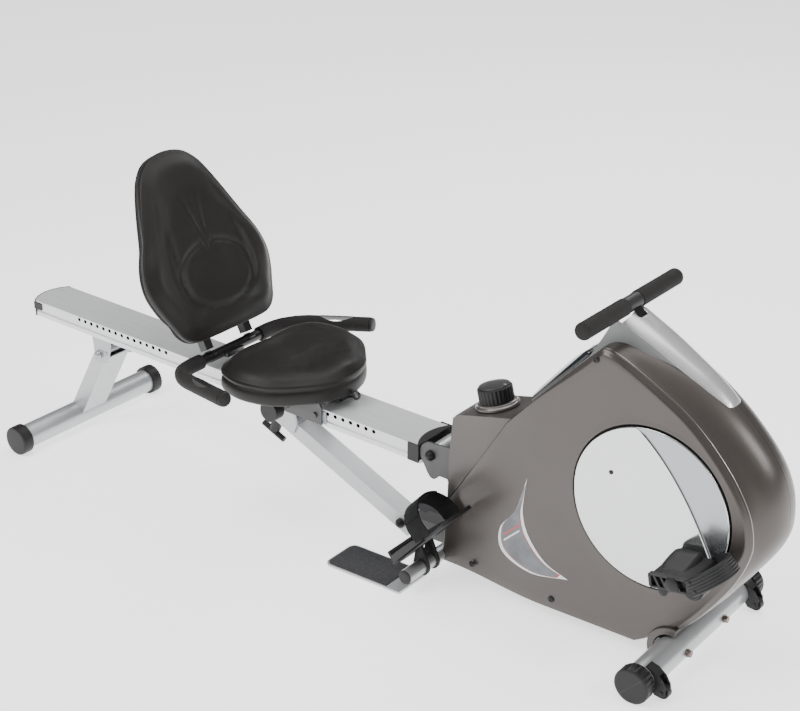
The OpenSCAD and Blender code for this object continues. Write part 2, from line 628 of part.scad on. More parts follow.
// welded brackets under the rail: hinge tongue, strut saddle and rear leg fork
function on_rail_u(p) = (p[0] - rail_x0) * cos(rail_slope) + (rail_z0 - p[1]) * sin(rail_slope);
function on_rail_v(p) = (p[0] - rail_x0) * sin(rail_slope) + (p[1] - rail_z0) * cos(rail_slope);
hinge_u = on_rail_u(hinge);
hinge_v = on_rail_v(hinge);
module rail_brackets() color("silver") difference() {
    union() {
        // hinge hub and the two webs that carry it, welded under the rail
        on_rail(hinge_u, hinge_v) rod_y(18, -ear_y + 0.8, ear_y - 0.8);
        for (y = [-38, 26]) on_rail() plate_y([[rail_l - 110, -rail_h - 1], [rail_l + 3, -rail_h - 1], [rail_l + 3, -16],
            [hinge_u, -14], [hinge_u, hinge_v - 14], [rail_l - 6, -rail_h - 14], [rail_l - 110, -rail_h - 10]], y, y + 12);
        on_rail() block([rail_l - 112, -40, -rail_h - 6], [rail_l - 2, 40, -rail_h - 0.1]);
        // strut saddle: a top plate on the strut and two cheeks
        strut_frame() block([333, -strut_w / 2 - 3, strut_t / 2 + 0.5], [strut_len, strut_w / 2 + 3, strut_t / 2 + 5]);
        both_sides() at_centre() plate_y([[638, 245], [646, 262.5], [757, 257.5], [764.4, 213.4], [753.7, 190.8]],
            strut_w / 2 + 0.8, strut_w / 2 + 5.5);
        on_rail() block([on_rail_u([645, 262]), -34, -rail_h - 5], [on_rail_u([770, 256]), 34, -rail_h - 0.1]);
        // rear leg fork
        both_sides() at_centre() plate_y([[106, 288.7], [172, 285.8], [160, 236], [148, 216], [112, 212], [102, 222], [108, 240]],
            leg_w / 2 + 0.6, leg_w / 2 + 4.6);
        on_rail() block([on_rail_u([106, 288]), -leg_w / 2 - 4.6, -rail_h - 4], [on_rail_u([172, 284]), leg_w / 2 + 4.6, -rail_h - 0.1]);
        at(leg_pivot) rod_y(pin_r - fit, -leg_w / 2 - 6, leg_w / 2 + 6);
        both_sides() at(leg_pivot) bolt_cap(leg_w / 2 + 4.4);
        both_sides() at([150, 243]) rod_y(4, leg_w / 2 + 4, leg_w / 2 + 7);
    }
    on_rail(hinge_u, hinge_v) rod_y(pin_r, -60, 60);
    // trim what would stand above the rail's underside or reach its end cap
    on_rail() block([0, -rail_w / 2, -rail_h - 0.1], [rail_l + 2, rail_w / 2, 20]);
}

front_arc_r = (rail_w * rail_w / 4 + 19 * 19) / (2 * 19);
side_block_l = 25;        // length of the caps' side blocks
module rail_end_caps() color([0.12, 0.12, 0.12]) {
    on_rail() {
        // rim round the bowed end
        difference() {
            intersection() {
                bowed_end(0);
                block([-30, -rail_w / 2 - 1.6, -rail_h - 1.6], [14, rail_w / 2 + 1.6, 0.6]);
            }
            bowed_end(-2.15);
        }
        both_sides() block([-2, rail_w / 2 - 1.1, -22], [side_block_l, rail_w / 2 + 1.6, -4]);
    }
    on_rail(rail_l) {
        intersection() {
            translate([front_arc_r - 19, 0, 0.05]) cylinder(r = front_arc_r, h = 1.8, $fn = 128);
            block([-30, -rail_w / 2 - 1.8, 0], [4, rail_w / 2 + 1.8, 1.9]);
        }
        both_sides() block([-side_block_l, rail_w / 2 + 0.05, -rail_h - 0.4], [4, rail_w / 2 + 3, 1.8]);
        block([0.05, -rail_w / 2 - 1, -rail_h + 4], [2.6, rail_w / 2 + 1, 1.8]);
    }
}

// ---------- rear leg ----------

leg_len = norm(leg_pivot - [0, foot_z]);
leg_angle = atan2(leg_pivot[1] - foot_z, leg_pivot[0]);
module rear_leg() color("silver") at([0, foot_z]) rotate([0, -leg_angle, 0]) difference() {
    union() {
        translate([6, 0, 0]) box_tube(leg_len - 6, leg_w, leg_t, 2.5);
        for (y = [-leg_w / 2, leg_w / 2 - 5]) translate([leg_len, 0, 0]) rod_y(leg_t / 2, y, y + 5);
    }
    rod_y(stabilizer_r + 0.1, -leg_w, leg_w);
    translate([leg_len, 0, 0]) rod_y(pin_r, -leg_w, leg_w);
}
module rear_stabilizer() color("silver") at([0, foot_z]) stabilizer_tube();
module rear_end_caps() color([0.14, 0.13, 0.13]) at([0, foot_z]) stabilizer_caps(0);

// ---------- seat ----------

module seat_carriage() color([0.25, 0.24, 0.23]) on_seat() difference() {
    union() {
        both_sides() plate_y([[-110, -rail_h + 3], [74, -rail_h + 3], [74, 4], [62, 22], [-98, 22], [-110, 6]],
            cheek_y, cheek_y + cheek_t);
        block([-112, -cheek_y - cheek_t, 21.6], [92, cheek_y + cheek_t, 25.6]);
        // tongue towards the handlebar and the backrest posts
        block([-205, -30, 21.6], [-110, 30, 25.6]);
        // sleeve of the seat lock
        translate([-hole_pitch, 0, -hole_drop]) rod_y(13, -79.5, -cheek_y - cheek_t + cut);
        both_sides() for (u = roller_u) translate([u, 0, roller_r + gap]) rod_y(4, 20, cheek_y + cheek_t + 3);
        both_sides() translate([55, 0, -18]) rod_y(6.5, cheek_y + cheek_t - 0.5, cheek_y + cheek_t + 4);
    }
    translate([-hole_pitch, 0, -hole_drop]) rod_y(4.3, -90, -50);
}

module seat_glides() color([0.7, 0.75, 0.8, 0.8]) both_sides() on_seat() for (u = [-92, 62])
    block([u - 14, rail_w / 2 + 0.4, -rail_h + 6], [u + 22, cheek_y - 0.1, -4]);

module roller_pair(u) color([0.85, 0.85, 0.82]) both_sides() on_seat(u, roller_r + gap) difference() {
    rod_y(roller_r, 26, 44);
    rod_y(4 + fit, 25, 45);
}
module rear_rollers() roller_pair(roller_u[0]);
module front_rollers() roller_pair(roller_u[1]);

module seat_lock() color([0.08, 0.08, 0.08]) on_seat(-hole_pitch, -hole_drop) {
    rod_y(4.3 - fit, -96, -rail_w / 2 - 0.8);
    rod_y(24, -130, -104);
    rod_y(14, -106, -92);
}

// seat pad: a tapered saddle in plan, [u, y]
seat_plan = concat(
    [[pad_rear + 8, 0], [pad_rear, 40], [pad_rear - 4, 90]],
    arc([pad_rear + 46, 128], 48, 170, 100, 6),
    [[pad_rear + 95, seat_half_w], [pad_rear + 150, 160], [pad_rear + 200, 130], [pad_rear + 235, 96], [pad_rear + 262, 62]],
    [[pad_nose - 6, 32], [pad_nose, 0]]);
function mirrored(p) = [for (i = [len(p) - 2 : -1 : 1]) [p[i][0], -p[i][1]]];
seat_outline = concat(seat_plan, mirrored(seat_plan));
function shrunk(p, k, c) = [for (q = p) c + k * (q - c)];
module seat_pad() color([0.15, 0.15, 0.15]) on_seat() hull() {
    translate([0, 0, pad_floor]) linear_extrude(1) polygon(shrunk(seat_outline, 0.94, [-20, 0]));
    translate([0, 0, pad_floor + 16]) linear_extrude(pad_edge - pad_floor - 22) polygon(seat_outline);
    translate([0, 0, pad_top - 2]) linear_extrude(1) polygon(shrunk(seat_outline, 0.8, [-20, 0]));
}

// backrest frame: origin at the foot of the posts, +Z up the lean
post_at = [541, 338];
module back_frame() at(post_at) rotate([0, -back_lean, 0]) children();
back_z0 = 39;             // bottom edge of the pad above the posts' feet
back_x = [16, 66];        // rear and front faces of the pad about the posts
board_x = 15.7;           // front face of the steel board between posts and pad
module backrest_frame() color([0.12, 0.12, 0.12]) {
    back_frame() {
        both_sides() translate([0, post_y, 20]) difference() {
            translate([-11, -11, 0]) cube([22, 22, 180]);
            translate([-8.5, -8.5, -cut]) cube([17, 17, 182]);
        }
        block([11, -95, back_z0 + 20], [board_x, 95, back_z0 + 240]);
    }
}
back_plan = concat([[0, 0], [104, 0]], arc([120, 42], 42, 275, 330, 4),
    [[180, 103], [back_half_w, 149], [179, 200], [152, 258], [127, 317], [105, 367]],
    arc([0, back_h - 96], 96, 30, 90, 6));
back_outline = concat(back_plan, [for (i = [len(back_plan) - 2 : -1 : 1]) [-back_plan[i][0], back_plan[i][1]]]);
// slices of the pad: [place, scale about its middle, thickness]
back_slices = [[back_x[0], 0.9, 1], [back_x[0] + 12, 1, 26], [back_x[1] - 1, 0.88, 1]];
module backrest_pad() color([0.15, 0.15, 0.15]) back_frame() translate([0, 0, back_z0]) hull()
    for (s = back_slices) translate([s[0], 0, 0]) rotate([90, 0, 90]) linear_extrude(s[2])
        polygon(shrunk(back_outline, s[1], [0, 200]));

// handlebar: rear run behind the seat, bends, and side arms that rise forwards
bar_rear = [541, 0, 340];
bar_bend = [575, 196, 346];
bar_tip = [761, 249, 364];
module bar_piece(r, a, b) let (d = b - a, l = norm(d))
    translate(a) rotate([0, acos(d[2] / l), atan2(d[1], d[0])]) cylinder(r = r, h = l);
// a short barrel, square to the bend, joins two straight lengths
module bar_joint(c, n) bar_piece(bar_r + 1.8, c - (bar_r + 0.9) * unit(n), c + (bar_r + 0.9) * unit(n));
module handlebar() color([0.1, 0.1, 0.1]) at_centre() {
    corner = bar_rear + [0, 150, 0];
    translate([bar_rear[0], 0, bar_rear[2]]) rod_y(bar_r, -150, 150);
    both_sides() {
        bar_joint(corner, cross([0, 1, 0], bar_bend - corner));
        bar_piece(bar_r, corner, bar_bend);
        bar_joint(bar_bend, cross(bar_bend - corner, bar_tip - bar_bend));
        bar_piece(bar_r, bar_bend, bar_tip);
    }
    // clamp to the carriage's tongue
    block([bar_rear[0] - 8, -29, 329], [bar_rear[0] + 18, 29, 341]);
    both_sides() block([bar_rear[0] - 11, post_y - 11, 340], [bar_rear[0] + 11, post_y + 11, 351.2]);
}
grip_from = bar_bend + 0.2 * (bar_tip - bar_bend);
module bar_grips() color([0.13, 0.13, 0.13]) both_sides() at_centre() difference() {
    bar_piece(grip_r, grip_from, bar_tip + unit(bar_tip - bar_bend) * 6);
    bar_piece(bar_r + 0.02, grip_from - unit(bar_tip - bar_bend) * 5, bar_tip + unit(bar_tip - bar_bend) * 0.02);
}
module pulse_plates() color("gainsboro") both_sides() at_centre() difference() {
    bar_piece(grip_r + 1.4, bar_bend + 0.4 * (bar_tip - bar_bend), bar_bend + 0.72 * (bar_tip - bar_bend));
    bar_piece(grip_r + 0.02, bar_bend + 0.35 * (bar_tip - bar_bend), bar_bend + 0.78 * (bar_tip - bar_bend));
    block([500, 100, 200], [800, 300, 352]);
}

module strap_hook() color([0.1, 0.1, 0.1]) on_seat() {
    block([84, -14, 8], [92, 14, 21.5]);
    bar_piece(2.5, [88, 0, 14], [114, 0, 22]);
    translate([122, 0, 28]) rotate([90, 0, 0]) translate([0, 0, -2.5]) difference() {
        cylinder(r = 11, h = 5);
        translate([0, 0, -cut]) cylinder(r = 7.5, h = 7);
    }
}

main_frame();
front_stabilizer();
base_end_caps();
wheel_brackets();
base_fasteners();
left_shell();
right_shell();
rear_cover();
top_fin();
console();
console_screen();
knob_base();
foot_tube();
step_plates();
pivot_bolts();
crank_bearings();
drive_belt();
wheel_right();
wheel_left();
tension_knob();
mode_button();
crank_axle();
crank_arms();
crank_discs();
drive_pulley();
flywheel();
magnet_carrier();
strap_spool();
row_bar();
row_grip();
strap_clip();
pull_strap();
foot_pad_right();
foot_pad_left();
foot_strap_right();
foot_strap_left();
pedal_right();
pedal_left();
pedal_strap_right();
pedal_strap_left();
strut();
strut_latch();
rail();
rail_brackets();
rail_end_caps();
rear_leg();
rear_stabilizer();
rear_end_caps();
seat_carriage();
seat_glides();
seat_pad();
backrest_frame();
backrest_pad();
handlebar();
bar_grips();
pulse_plates();
strap_hook();
front_rollers();
rear_rollers();
seat_lock();
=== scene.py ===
# Looks of the folding recumbent rower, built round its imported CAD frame. Lengths are millimetres, with X
# counted from the rear stabilizer's axis; make() turns them into the frame's metres.
import math

import bpy
import bmesh
import numpy as np
from mathutils import Matrix, Vector


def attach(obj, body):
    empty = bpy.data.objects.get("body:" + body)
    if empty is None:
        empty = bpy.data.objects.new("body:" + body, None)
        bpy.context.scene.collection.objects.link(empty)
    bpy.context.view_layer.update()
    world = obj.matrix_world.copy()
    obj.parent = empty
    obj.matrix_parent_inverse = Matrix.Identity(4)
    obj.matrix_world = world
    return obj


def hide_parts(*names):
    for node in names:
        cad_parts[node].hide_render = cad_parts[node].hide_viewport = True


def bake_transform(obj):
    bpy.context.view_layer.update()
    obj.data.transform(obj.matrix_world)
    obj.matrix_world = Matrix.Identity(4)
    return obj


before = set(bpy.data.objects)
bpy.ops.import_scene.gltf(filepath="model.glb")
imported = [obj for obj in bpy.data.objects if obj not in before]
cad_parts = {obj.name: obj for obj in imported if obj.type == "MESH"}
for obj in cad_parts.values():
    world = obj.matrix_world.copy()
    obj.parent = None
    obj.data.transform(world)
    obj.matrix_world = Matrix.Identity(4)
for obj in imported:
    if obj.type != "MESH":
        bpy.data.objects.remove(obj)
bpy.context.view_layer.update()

MM = 0.001
MID_X = 922.5
RAD = math.pi / 180

# ---------------------------------------------------------------- frames of the machine


def at(x, z, y=0.0, turn=0.0):
    """Frame at a station, turned about Y by turn degrees (positive lowers +X)."""
    return Matrix.Translation((x - MID_X, y, z)) @ Matrix.Rotation(turn * RAD, 4, "Y")


WORLD = Matrix.Translation((-MID_X, 0, 0))
RAIL = at(-84.7, 336.8, turn=2.55)
SEAT = RAIL @ Matrix.Translation((882.62, 0, 0))
BACK = at(541, 338, turn=-25.5)
CONSOLE = at(1412, 452, turn=-46.4)
KNOB = at(1300, 398.5, turn=-11.84)
MIRROR = Matrix.Diagonal((1, -1, 1, 1))
CRANK = (1707.0, 328.0)
CRANK_R, CRANK_ANGLE = 132.0, 32.7


def foot(side):
    return at(1187, 40, turn=-46) if side < 0 else MIRROR @ at(1187, 40, turn=-46)


def pedal(side):
    x = CRANK[0] - side * CRANK_R * math.cos(CRANK_ANGLE * RAD)
    z = CRANK[1] + side * CRANK_R * math.sin(CRANK_ANGLE * RAD)
    m = at(x, z, turn=-8)
    return m if side < 0 else MIRROR @ m


# ---------------------------------------------------------------- mesh helpers


def make(name, verts, faces, matrix, mat, body, angle=40, slot=None, replaces=()):
    """Mesh from millimetre points in a local frame, riding on a body."""
    me = bpy.data.meshes.new(name)
    me.from_pydata([tuple((matrix @ Vector(v)) * MM) for v in verts], [], faces)
    me.materials.append(mat)
    ob = bpy.data.objects.new(name, me)
    bpy.context.scene.collection.objects.link(ob)
    bm = bmesh.new()
    bm.from_mesh(me)
    bmesh.ops.remove_doubles(bm, verts=bm.verts, dist=1e-6)
    bmesh.ops.recalc_face_normals(bm, faces=bm.faces)
    bm.to_mesh(me)
    bm.free()
    for p in me.polygons:
        p.use_smooth = True
    with bpy.context.temp_override(object=ob, active_object=ob, selected_objects=[ob],
                                   selected_editable_objects=[ob]):
        bpy.ops.object.shade_smooth_by_angle(angle=angle * RAD)
    return finish_piece(ob, body, replaces)


def finish_piece(ob, body, replaces=()):
    if body:
        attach(ob, body)
    if replaces:
        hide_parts(*replaces)
    return ob


def rings(sections, closed=True, caps=(True, True)):
    """Vertices and faces of a loft through equal rings."""
    n = len(sections[0])
    verts = [p for s in sections for p in s]
    faces = []
    for i in range(len(sections) - 1):
        for j in range(n if closed else n - 1):
            k = (j + 1) % n
            faces.append((i * n + j, i * n + k, (i + 1) * n + k, (i + 1) * n + j))
    if caps[0]:
        faces.append(tuple(range(n - 1, -1, -1)))
    if caps[1]:
        faces.append(tuple((len(sections) - 1) * n + j for j in range(n)))
    return verts, faces


def lathe(profile, n=64, axis="y", ribs=0, rib=0.0, rib_span=(0, 0), caps=(True, True)):
    """Solid of revolution from [radius, distance] points along an axis."""
    out = []
    for r, d in profile:
        ring = []
        for i in range(n):
            a = 2 * math.pi * i / n
            q = r
            if ribs and rib_span[0] <= d <= rib_span[1]:
                q = r - rib * (0.5 - 0.5 * math.cos(ribs * a)) ** 0.7
            c, s = q * math.cos(a), q * math.sin(a)
            ring.append({"y": (c, d, s), "z": (c, s, d), "x": (d, c, s)}[axis])
        out.append(ring)
    return rings(out, caps=caps)


def ring_solid(profile, n=64):
    """Solid of revolution whose profile closes on itself, so that its middle stays open."""
    v, f = lathe(profile + profile[:1], n, caps=(False, False))
    count = len(profile) * n
    return v[:count], [tuple(i % count for i in face) for face in f]


def arc(cx, cy, r, a0, a1, n):
    """Arc of n steps between two angles in degrees."""
    turns = [(a0 + (a1 - a0) * i / n) * RAD for i in range(n + 1)]
    return [(cx + r * math.cos(a), cy + r * math.sin(a)) for a in turns]


def between(a, b, c, d, t):
    """Catmull-Rom point at fraction t between b and c."""
    return 0.5 * ((2 * b) + (c - a) * t + (2 * a - 5 * b + 4 * c - d) * t * t
                  + (3 * b - a - 3 * c + d) * t ** 3)


def spline(points, n):
    """Catmull-Rom through points, n steps between two."""
    p = [Vector(q) for q in points]
    p = [2 * p[0] - p[1]] + p + [2 * p[-1] - p[-2]]
    out = []
    for i in range(1, len(p) - 2):
        out += [between(*p[i - 1:i + 3], k / n) for k in range(n)]
    return out + [p[-2]]


def sweep(path, shape, up=(0, 0, 1), caps=(True, True)):
    """Loft of a flat shape [(side, up)] along a path; shape may be a function of the fraction of the path."""
    out = []
    up = Vector(up)
    side = None
    for i, p in enumerate(path):
        t = (path[min(i + 1, len(path) - 1)] - path[max(i - 1, 0)]).normalized()
        side = t.cross(up).normalized()
        v = side.cross(t)
        f = shape(i / (len(path) - 1)) if callable(shape) else shape
        out.append([tuple(p + side * a + v * b) for a, b in f])
    return rings(out, caps=caps)


def round_shape(r, n=24):
    return [(r * math.cos(2 * math.pi * i / n), r * math.sin(2 * math.pi * i / n)) for i in range(n)]


def rounded_box(w, h, r, n=4):
    """Outline of a rounded rectangle about its middle."""
    x, y = w / 2 - r, h / 2 - r
    out = []
    for cx, cy, a in ((x, y, 0), (-x, y, 90), (-x, -y, 180), (x, -y, 270)):
        out += arc(cx, cy, r, a, a + 90, n)
    return out


def scaled(outline, c, k, h):
    """Ring at height h from an outline scaled by k about c."""
    return [(c[0] + k * (a - c[0]), c[1] + k * (b - c[1]), h) for a, b in outline]


def soft_slab(outline, z0, z1, edge, n=3):
    """Slab with rounded edges from a flat outline [(a, b)], as rings in (a, b, height)."""
    c = np.mean(np.array(outline), axis=0)
    span = np.abs(np.array(outline) - c).max()
    out = []
    for i in range(n + 1):
        a = 90 * RAD * i / n
        k = 1 - edge * (1 - math.sin(a)) / span
        out.append(scaled(outline, c, k, z0 + edge * (1 - math.cos(a))))
    for i in range(n + 1):
        a = 90 * RAD * (1 - i / n)
        k = 1 - edge * (1 - math.sin(a)) / span
        out.append(scaled(outline, c, k, z1 - edge * (1 - math.cos(a))))
    return rings(out)


def smooth01(t):
    """Smooth step from 0 to 1."""
    t = max(0.0, min(1.0, t))
    return t * t * (3 - 2 * t)


# ---------------------------------------------------------------- materials


def material(name, color, rough, metallic=0.0, bump=(), vary=0.08, vary_scale=6.0, coat=0.0, coat_rough=0.1,
             rough_vary=0.06, stretch=(1, 1, 1), transmission=0.0, wear=0.0, spec=0.5, glow=0.0):
    """Principled surface that drifts with noise; bump is [(kind, scale, strength, distance)]."""
    m = bpy.data.materials.new(name)
    m.use_nodes = True
    t = m.node_tree
    b = t.nodes["Principled BSDF"]
    constants = {"Metallic": metallic, "Coat Weight": coat, "Coat Roughness": coat_rough,
                 "Transmission Weight": transmission, "Specular IOR Level": spec,
                 "Emission Color": (1, 1, 1, 1), "Emission Strength": glow}
    for key, value in constants.items():
        b.inputs[key].default_value = value
    co = t.nodes.new("ShaderNodeTexCoord")
    mp = t.nodes.new("ShaderNodeMapping")
    mp.inputs["Scale"].default_value = stretch
    t.links.new(co.outputs["Object"], mp.inputs["Vector"])

    def texture(kind, scale):
        n = t.nodes.new("ShaderNodeTex" + kind)
        n.inputs["Scale"].default_value = scale
        t.links.new(mp.outputs["Vector"], n.inputs["Vector"])
        return n

    def noise(scale, detail=4.0):
        n = texture("Noise", scale)
        n.inputs["Detail"].default_value = detail
        return n

    def ramp_between(source, start, end):
        r = t.nodes.new("ShaderNodeValToRGB")
        r.color_ramp.elements[0].position, r.color_ramp.elements[1].position = start, end
        t.links.new(source, r.inputs["Fac"])
        return r

    ramp = ramp_between(noise(vary_scale).outputs["Fac"], 0.3, 0.7)
    for stop, k in zip(ramp.color_ramp.elements, (1 - vary, 1 + vary)):
        stop.color = (*[min(1, c * k) for c in color], 1)
    t.links.new(ramp.outputs["Color"], b.inputs["Base Color"])
    if wear:
        # paler edges, from the curvature of the mesh
        geo = t.nodes.new("ShaderNodeNewGeometry")
        edges = ramp_between(geo.outputs["Pointiness"], 0.52, 0.62)
        mix = t.nodes.new("ShaderNodeMix")
        mix.data_type = "RGBA"
        mix.inputs["B"].default_value = (*[min(1, c + wear) for c in color], 1)
        t.links.new(edges.outputs["Color"], mix.inputs["Factor"])
        t.links.new(ramp.outputs["Color"], mix.inputs["A"])
        t.links.new(mix.outputs["Result"], b.inputs["Base Color"])
    rr = t.nodes.new("ShaderNodeMapRange")
    rr.inputs["To Min"].default_value = max(0.02, rough - rough_vary)
    rr.inputs["To Max"].default_value = min(1, rough + rough_vary)
    t.links.new(noise(vary_scale * 3).outputs["Fac"], rr.inputs["Value"])
    t.links.new(rr.outputs["Result"], b.inputs["Roughness"])
    last = None
    for kind, scale, strength, dist in bump:
        if kind == "noise":
            h = noise(scale, 6.0).outputs["Fac"]
        elif kind == "grain":
            cells = texture("Voronoi", scale)
            cells.feature = "DISTANCE_TO_EDGE"
            seams = t.nodes.new("ShaderNodeMapRange")
            seams.inputs["From Max"].default_value = 0.25
            t.links.new(cells.outputs["Distance"], seams.inputs["Value"])
            h = seams.outputs["Result"]
        else:
            weave = texture("Wave", scale)
            weave.bands_direction = kind
            weave.inputs["Distortion"].default_value = 0.4
            h = weave.outputs["Fac"]
        bp = t.nodes.new("ShaderNodeBump")
        bp.inputs["Strength"].default_value = strength
        bp.inputs["Distance"].default_value = dist
        t.links.new(h, bp.inputs["Height"])
        if last:
            t.links.new(last, bp.inputs["Normal"])
        last = bp.outputs["Normal"]
    if last:
        t.links.new(last, b.inputs["Normal"])
    return m


HOUSING = material("housing_taupe", (0.079, 0.068, 0.0615), 0.38, metallic=0.5, coat=0.25, coat_rough=0.25,
                   bump=[("noise", 900, 0.05, 0.0004)], vary=0.05, wear=0.02)
SILVER_PLASTIC = material("silver_plastic", (0.66, 0.66, 0.67), 0.28, metallic=0.6, coat=0.4,
                          bump=[("noise", 1200, 0.03, 0.0003)], vary=0.03)
SILVER = material("silver_paint", (0.42, 0.43, 0.44), 0.36, metallic=0.6, coat=0.2,
                  bump=[("noise", 500, 0.08, 0.0004)], vary=0.05, wear=0.06)
RAIL_MAT = material("brushed_aluminium", (0.78, 0.79, 0.8), 0.36, metallic=0.35, stretch=(1, 60, 60),
                    bump=[("noise", 60, 0.12, 0.0003)], vary=0.06, vary_scale=4)
STEEL = material("zinc_steel", (0.55, 0.55, 0.56), 0.3, metallic=1.0, bump=[("noise", 300, 0.1, 0.0003)])
BOLT = material("dark_bolt", (0.13, 0.09, 0.07), 0.34, metallic=0.9, bump=[("noise", 400, 0.15, 0.0003)],
                wear=0.1)
FRAME_MAT = material("dark_frame", (0.09, 0.09, 0.09), 0.45, metallic=0.4,
                     bump=[("noise", 400, 0.1, 0.0004)])
BLACK_PLASTIC = material("black_plastic", (0.013, 0.012, 0.012), 0.46, bump=[("noise", 700, 0.2, 0.0005)],
                         vary=0.2, wear=0.015, spec=0.3)
BLACK_GLOSS = material("black_gloss", (0.01, 0.012, 0.016), 0.2, coat=0.3,
                       bump=[("noise", 500, 0.04, 0.0003)], vary=0.2, spec=0.4)
BLACK_PAINT = material("black_powder_coat", (0.009, 0.009, 0.009), 0.34, coat=0.2,
                       bump=[("noise", 900, 0.1, 0.0003)], vary=0.2, wear=0.02, spec=0.35)
RUBBER = material("rubber", (0.016, 0.016, 0.017), 0.5, bump=[("noise", 500, 0.15, 0.0005)], vary=0.2,
                  spec=0.35)
FOAM = material("foam", (0.02, 0.0185, 0.018), 0.8,
                bump=[("noise", 1400, 0.4, 0.0006), ("noise", 250, 0.2, 0.0008)], vary=0.15, spec=0.3)
VINYL = material("black_vinyl", (0.0115, 0.0102, 0.0094), 0.46,
                 bump=[("grain", 420, 0.12, 0.0003), ("noise", 60, 0.06, 0.002)],
                 vary=0.12, vary_scale=12, rough_vary=0.06, spec=0.3)
WEBBING = material("webbing", (0.009, 0.009, 0.0095), 0.85,
                   bump=[("DIAGONAL", 260, 0.4, 0.0006), ("noise", 900, 0.3, 0.0005)], vary=0.25,
                   vary_scale=40, spec=0.2)
DISC = material("silver_disc", (0.66, 0.67, 0.68), 0.1, metallic=0.92, coat=0.5, coat_rough=0.04,
                vary=0.02, rough_vary=0.03,
                bump=[("noise", 4, 0.02, 0.004)])
# painted reflection: a darker copy of the disc finish for the half in front of the crease, standing for the
# dark housing it reflects
DISC_PAINTED_REFLECTION = material("silver_disc_painted_reflection", (0.36, 0.37, 0.385), 0.22, metallic=0.9, coat=0.3, coat_rough=0.1,
                    vary=0.02, rough_vary=0.03,
                    bump=[("noise", 4, 0.02, 0.004)])
PLATE = material("pulse_plate", (0.7, 0.7, 0.7), 0.14, metallic=1.0, bump=[("noise", 200, 0.04, 0.0003)])
GLIDE = material("glide", (0.62, 0.68, 0.72), 0.25, transmission=0.55, bump=[("noise", 200, 0.05, 0.0004)])
NYLON = material("nylon", (0.7, 0.7, 0.67), 0.45, bump=[("noise", 300, 0.08, 0.0004)])
IRON = material("cast_iron", (0.16, 0.16, 0.17), 0.5, metallic=0.8, bump=[("noise", 200, 0.3, 0.0008)])
KNOB_TOP = material("knob_top", (0.06, 0.06, 0.062), 0.36, metallic=0.3,
                    bump=[("noise", 700, 0.1, 0.0003)], spec=0.4)
FIN_SIDE = material("fin_side", (0.21, 0.215, 0.215), 0.5, metallic=0.35,
                    bump=[("noise", 900, 0.06, 0.0003)], vary=0.04, spec=0.35)
# painted shade: near-black finish of the pieces that stand for the shade in the rail's holes and round the
# discs
PAINTED_SHADE = material("painted_shade_dark", (0.004, 0.004, 0.004), 0.6, bump=[("noise", 500, 0.05, 0.0003)], spec=0.1)
# painted highlight: near-white finish with a slight glow for the bright line along the discs' crease
GLOWING_CREASE_HIGHLIGHT = material("crease_highlight", (0.95, 0.95, 0.95), 0.35, vary=0.01, glow=0.55)
# painted highlight: a paler, glossier copy of the housing colour for the bead along the ridge
RIDGE_HIGHLIGHT = material("ridge_highlight", (0.34, 0.32, 0.305), 0.25, metallic=0.6, coat=0.4, vary=0.03,
                 bump=[("noise", 900, 0.03, 0.0003)])
TAUPE_TRIM = material("base_ring", (0.2, 0.185, 0.175), 0.3, metallic=0.7, coat=0.3,
                      bump=[("noise", 900, 0.04, 0.0003)], vary=0.04)
SCREEN = material("screen", (0.1, 0.13, 0.13), 0.12, coat=0.8, coat_rough=0.03, vary=0.05)
RED = material("red_button", (0.35, 0.02, 0.02), 0.3, coat=0.4, bump=[("noise", 300, 0.05, 0.0003)])
GRIP_SHEET = material("step_grip", (0.045, 0.045, 0.048), 0.75,
                      bump=[("grain", 700, 0.6, 0.0006), ("noise", 900, 0.4, 0.0005)], vary=0.35,
                      vary_scale=160)
DECAL_GREY = material("decal_grey", (0.13, 0.135, 0.15), 0.4, coat=0.2, vary=0.25, vary_scale=30)
DECAL_EDGE = material("decal_edge", (0.66, 0.66, 0.66), 0.25, metallic=0.3, coat=0.5, vary=0.04)
DECAL_RED = material("decal_red", (0.4, 0.03, 0.03), 0.3, coat=0.5, vary=0.1)

# looks of the CAD pieces that stay in sight; the others are replaced below
CAD_LOOKS = {
    FRAME_MAT: ["main_frame", "seat_carriage"],
    SILVER: ["front_stabilizer", "foot_tube", "step_plates", "strut", "rail_brackets", "rear_leg",
             "rear_stabilizer"],
    BLACK_PLASTIC: ["wheel_brackets", "pivot_bolts", "strut_latch", "rail_end_caps", "seat_lock",
                    "strap_clip"],
    BOLT: ["base_fasteners"],
    HOUSING: ["rear_cover"],
    SCREEN: ["console_screen"],
    STEEL: ["crank_bearings", "crank_axle", "crank_arms", "magnet_carrier"],
    RUBBER: ["drive_belt", "wheel_right", "wheel_left", "drive_pulley", "strap_spool"],
    RED: ["mode_button"],
    IRON: ["flywheel"],
    BLACK_PAINT: ["row_bar", "backrest_frame", "strap_hook"],
    RAIL_MAT: ["rail"],
    GLIDE: ["seat_glides"],
    NYLON: ["front_rollers", "rear_rollers"],
}
for mat, names in CAD_LOOKS.items():
    for name in names:
        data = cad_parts[name]
        for s in data.material_slots:
            s.material = mat

# ---------------------------------------------------------------- camera, light and floor

cam_data = bpy.data.cameras.new("camera")
cam_data.lens = 73.41
cam_data.sensor_width = 36
cam_data.sensor_fit = "HORIZONTAL"
cam_data.clip_end = 50
cam = bpy.data.objects.new("camera", cam_data)
bpy.context.scene.collection.objects.link(cam)
right, up_axis, back_axis = (0.7849, 0.6190, -0.0281), (-0.2293, 0.3323, 0.9149), (0.5757, -0.7116, 0.4028)
turn = Matrix((right, up_axis, back_axis)).transposed()
cam.matrix_world = Matrix.Translation((2.1126, -2.4579, 1.8380)) @ turn.to_4x4()
bpy.context.scene.camera = cam


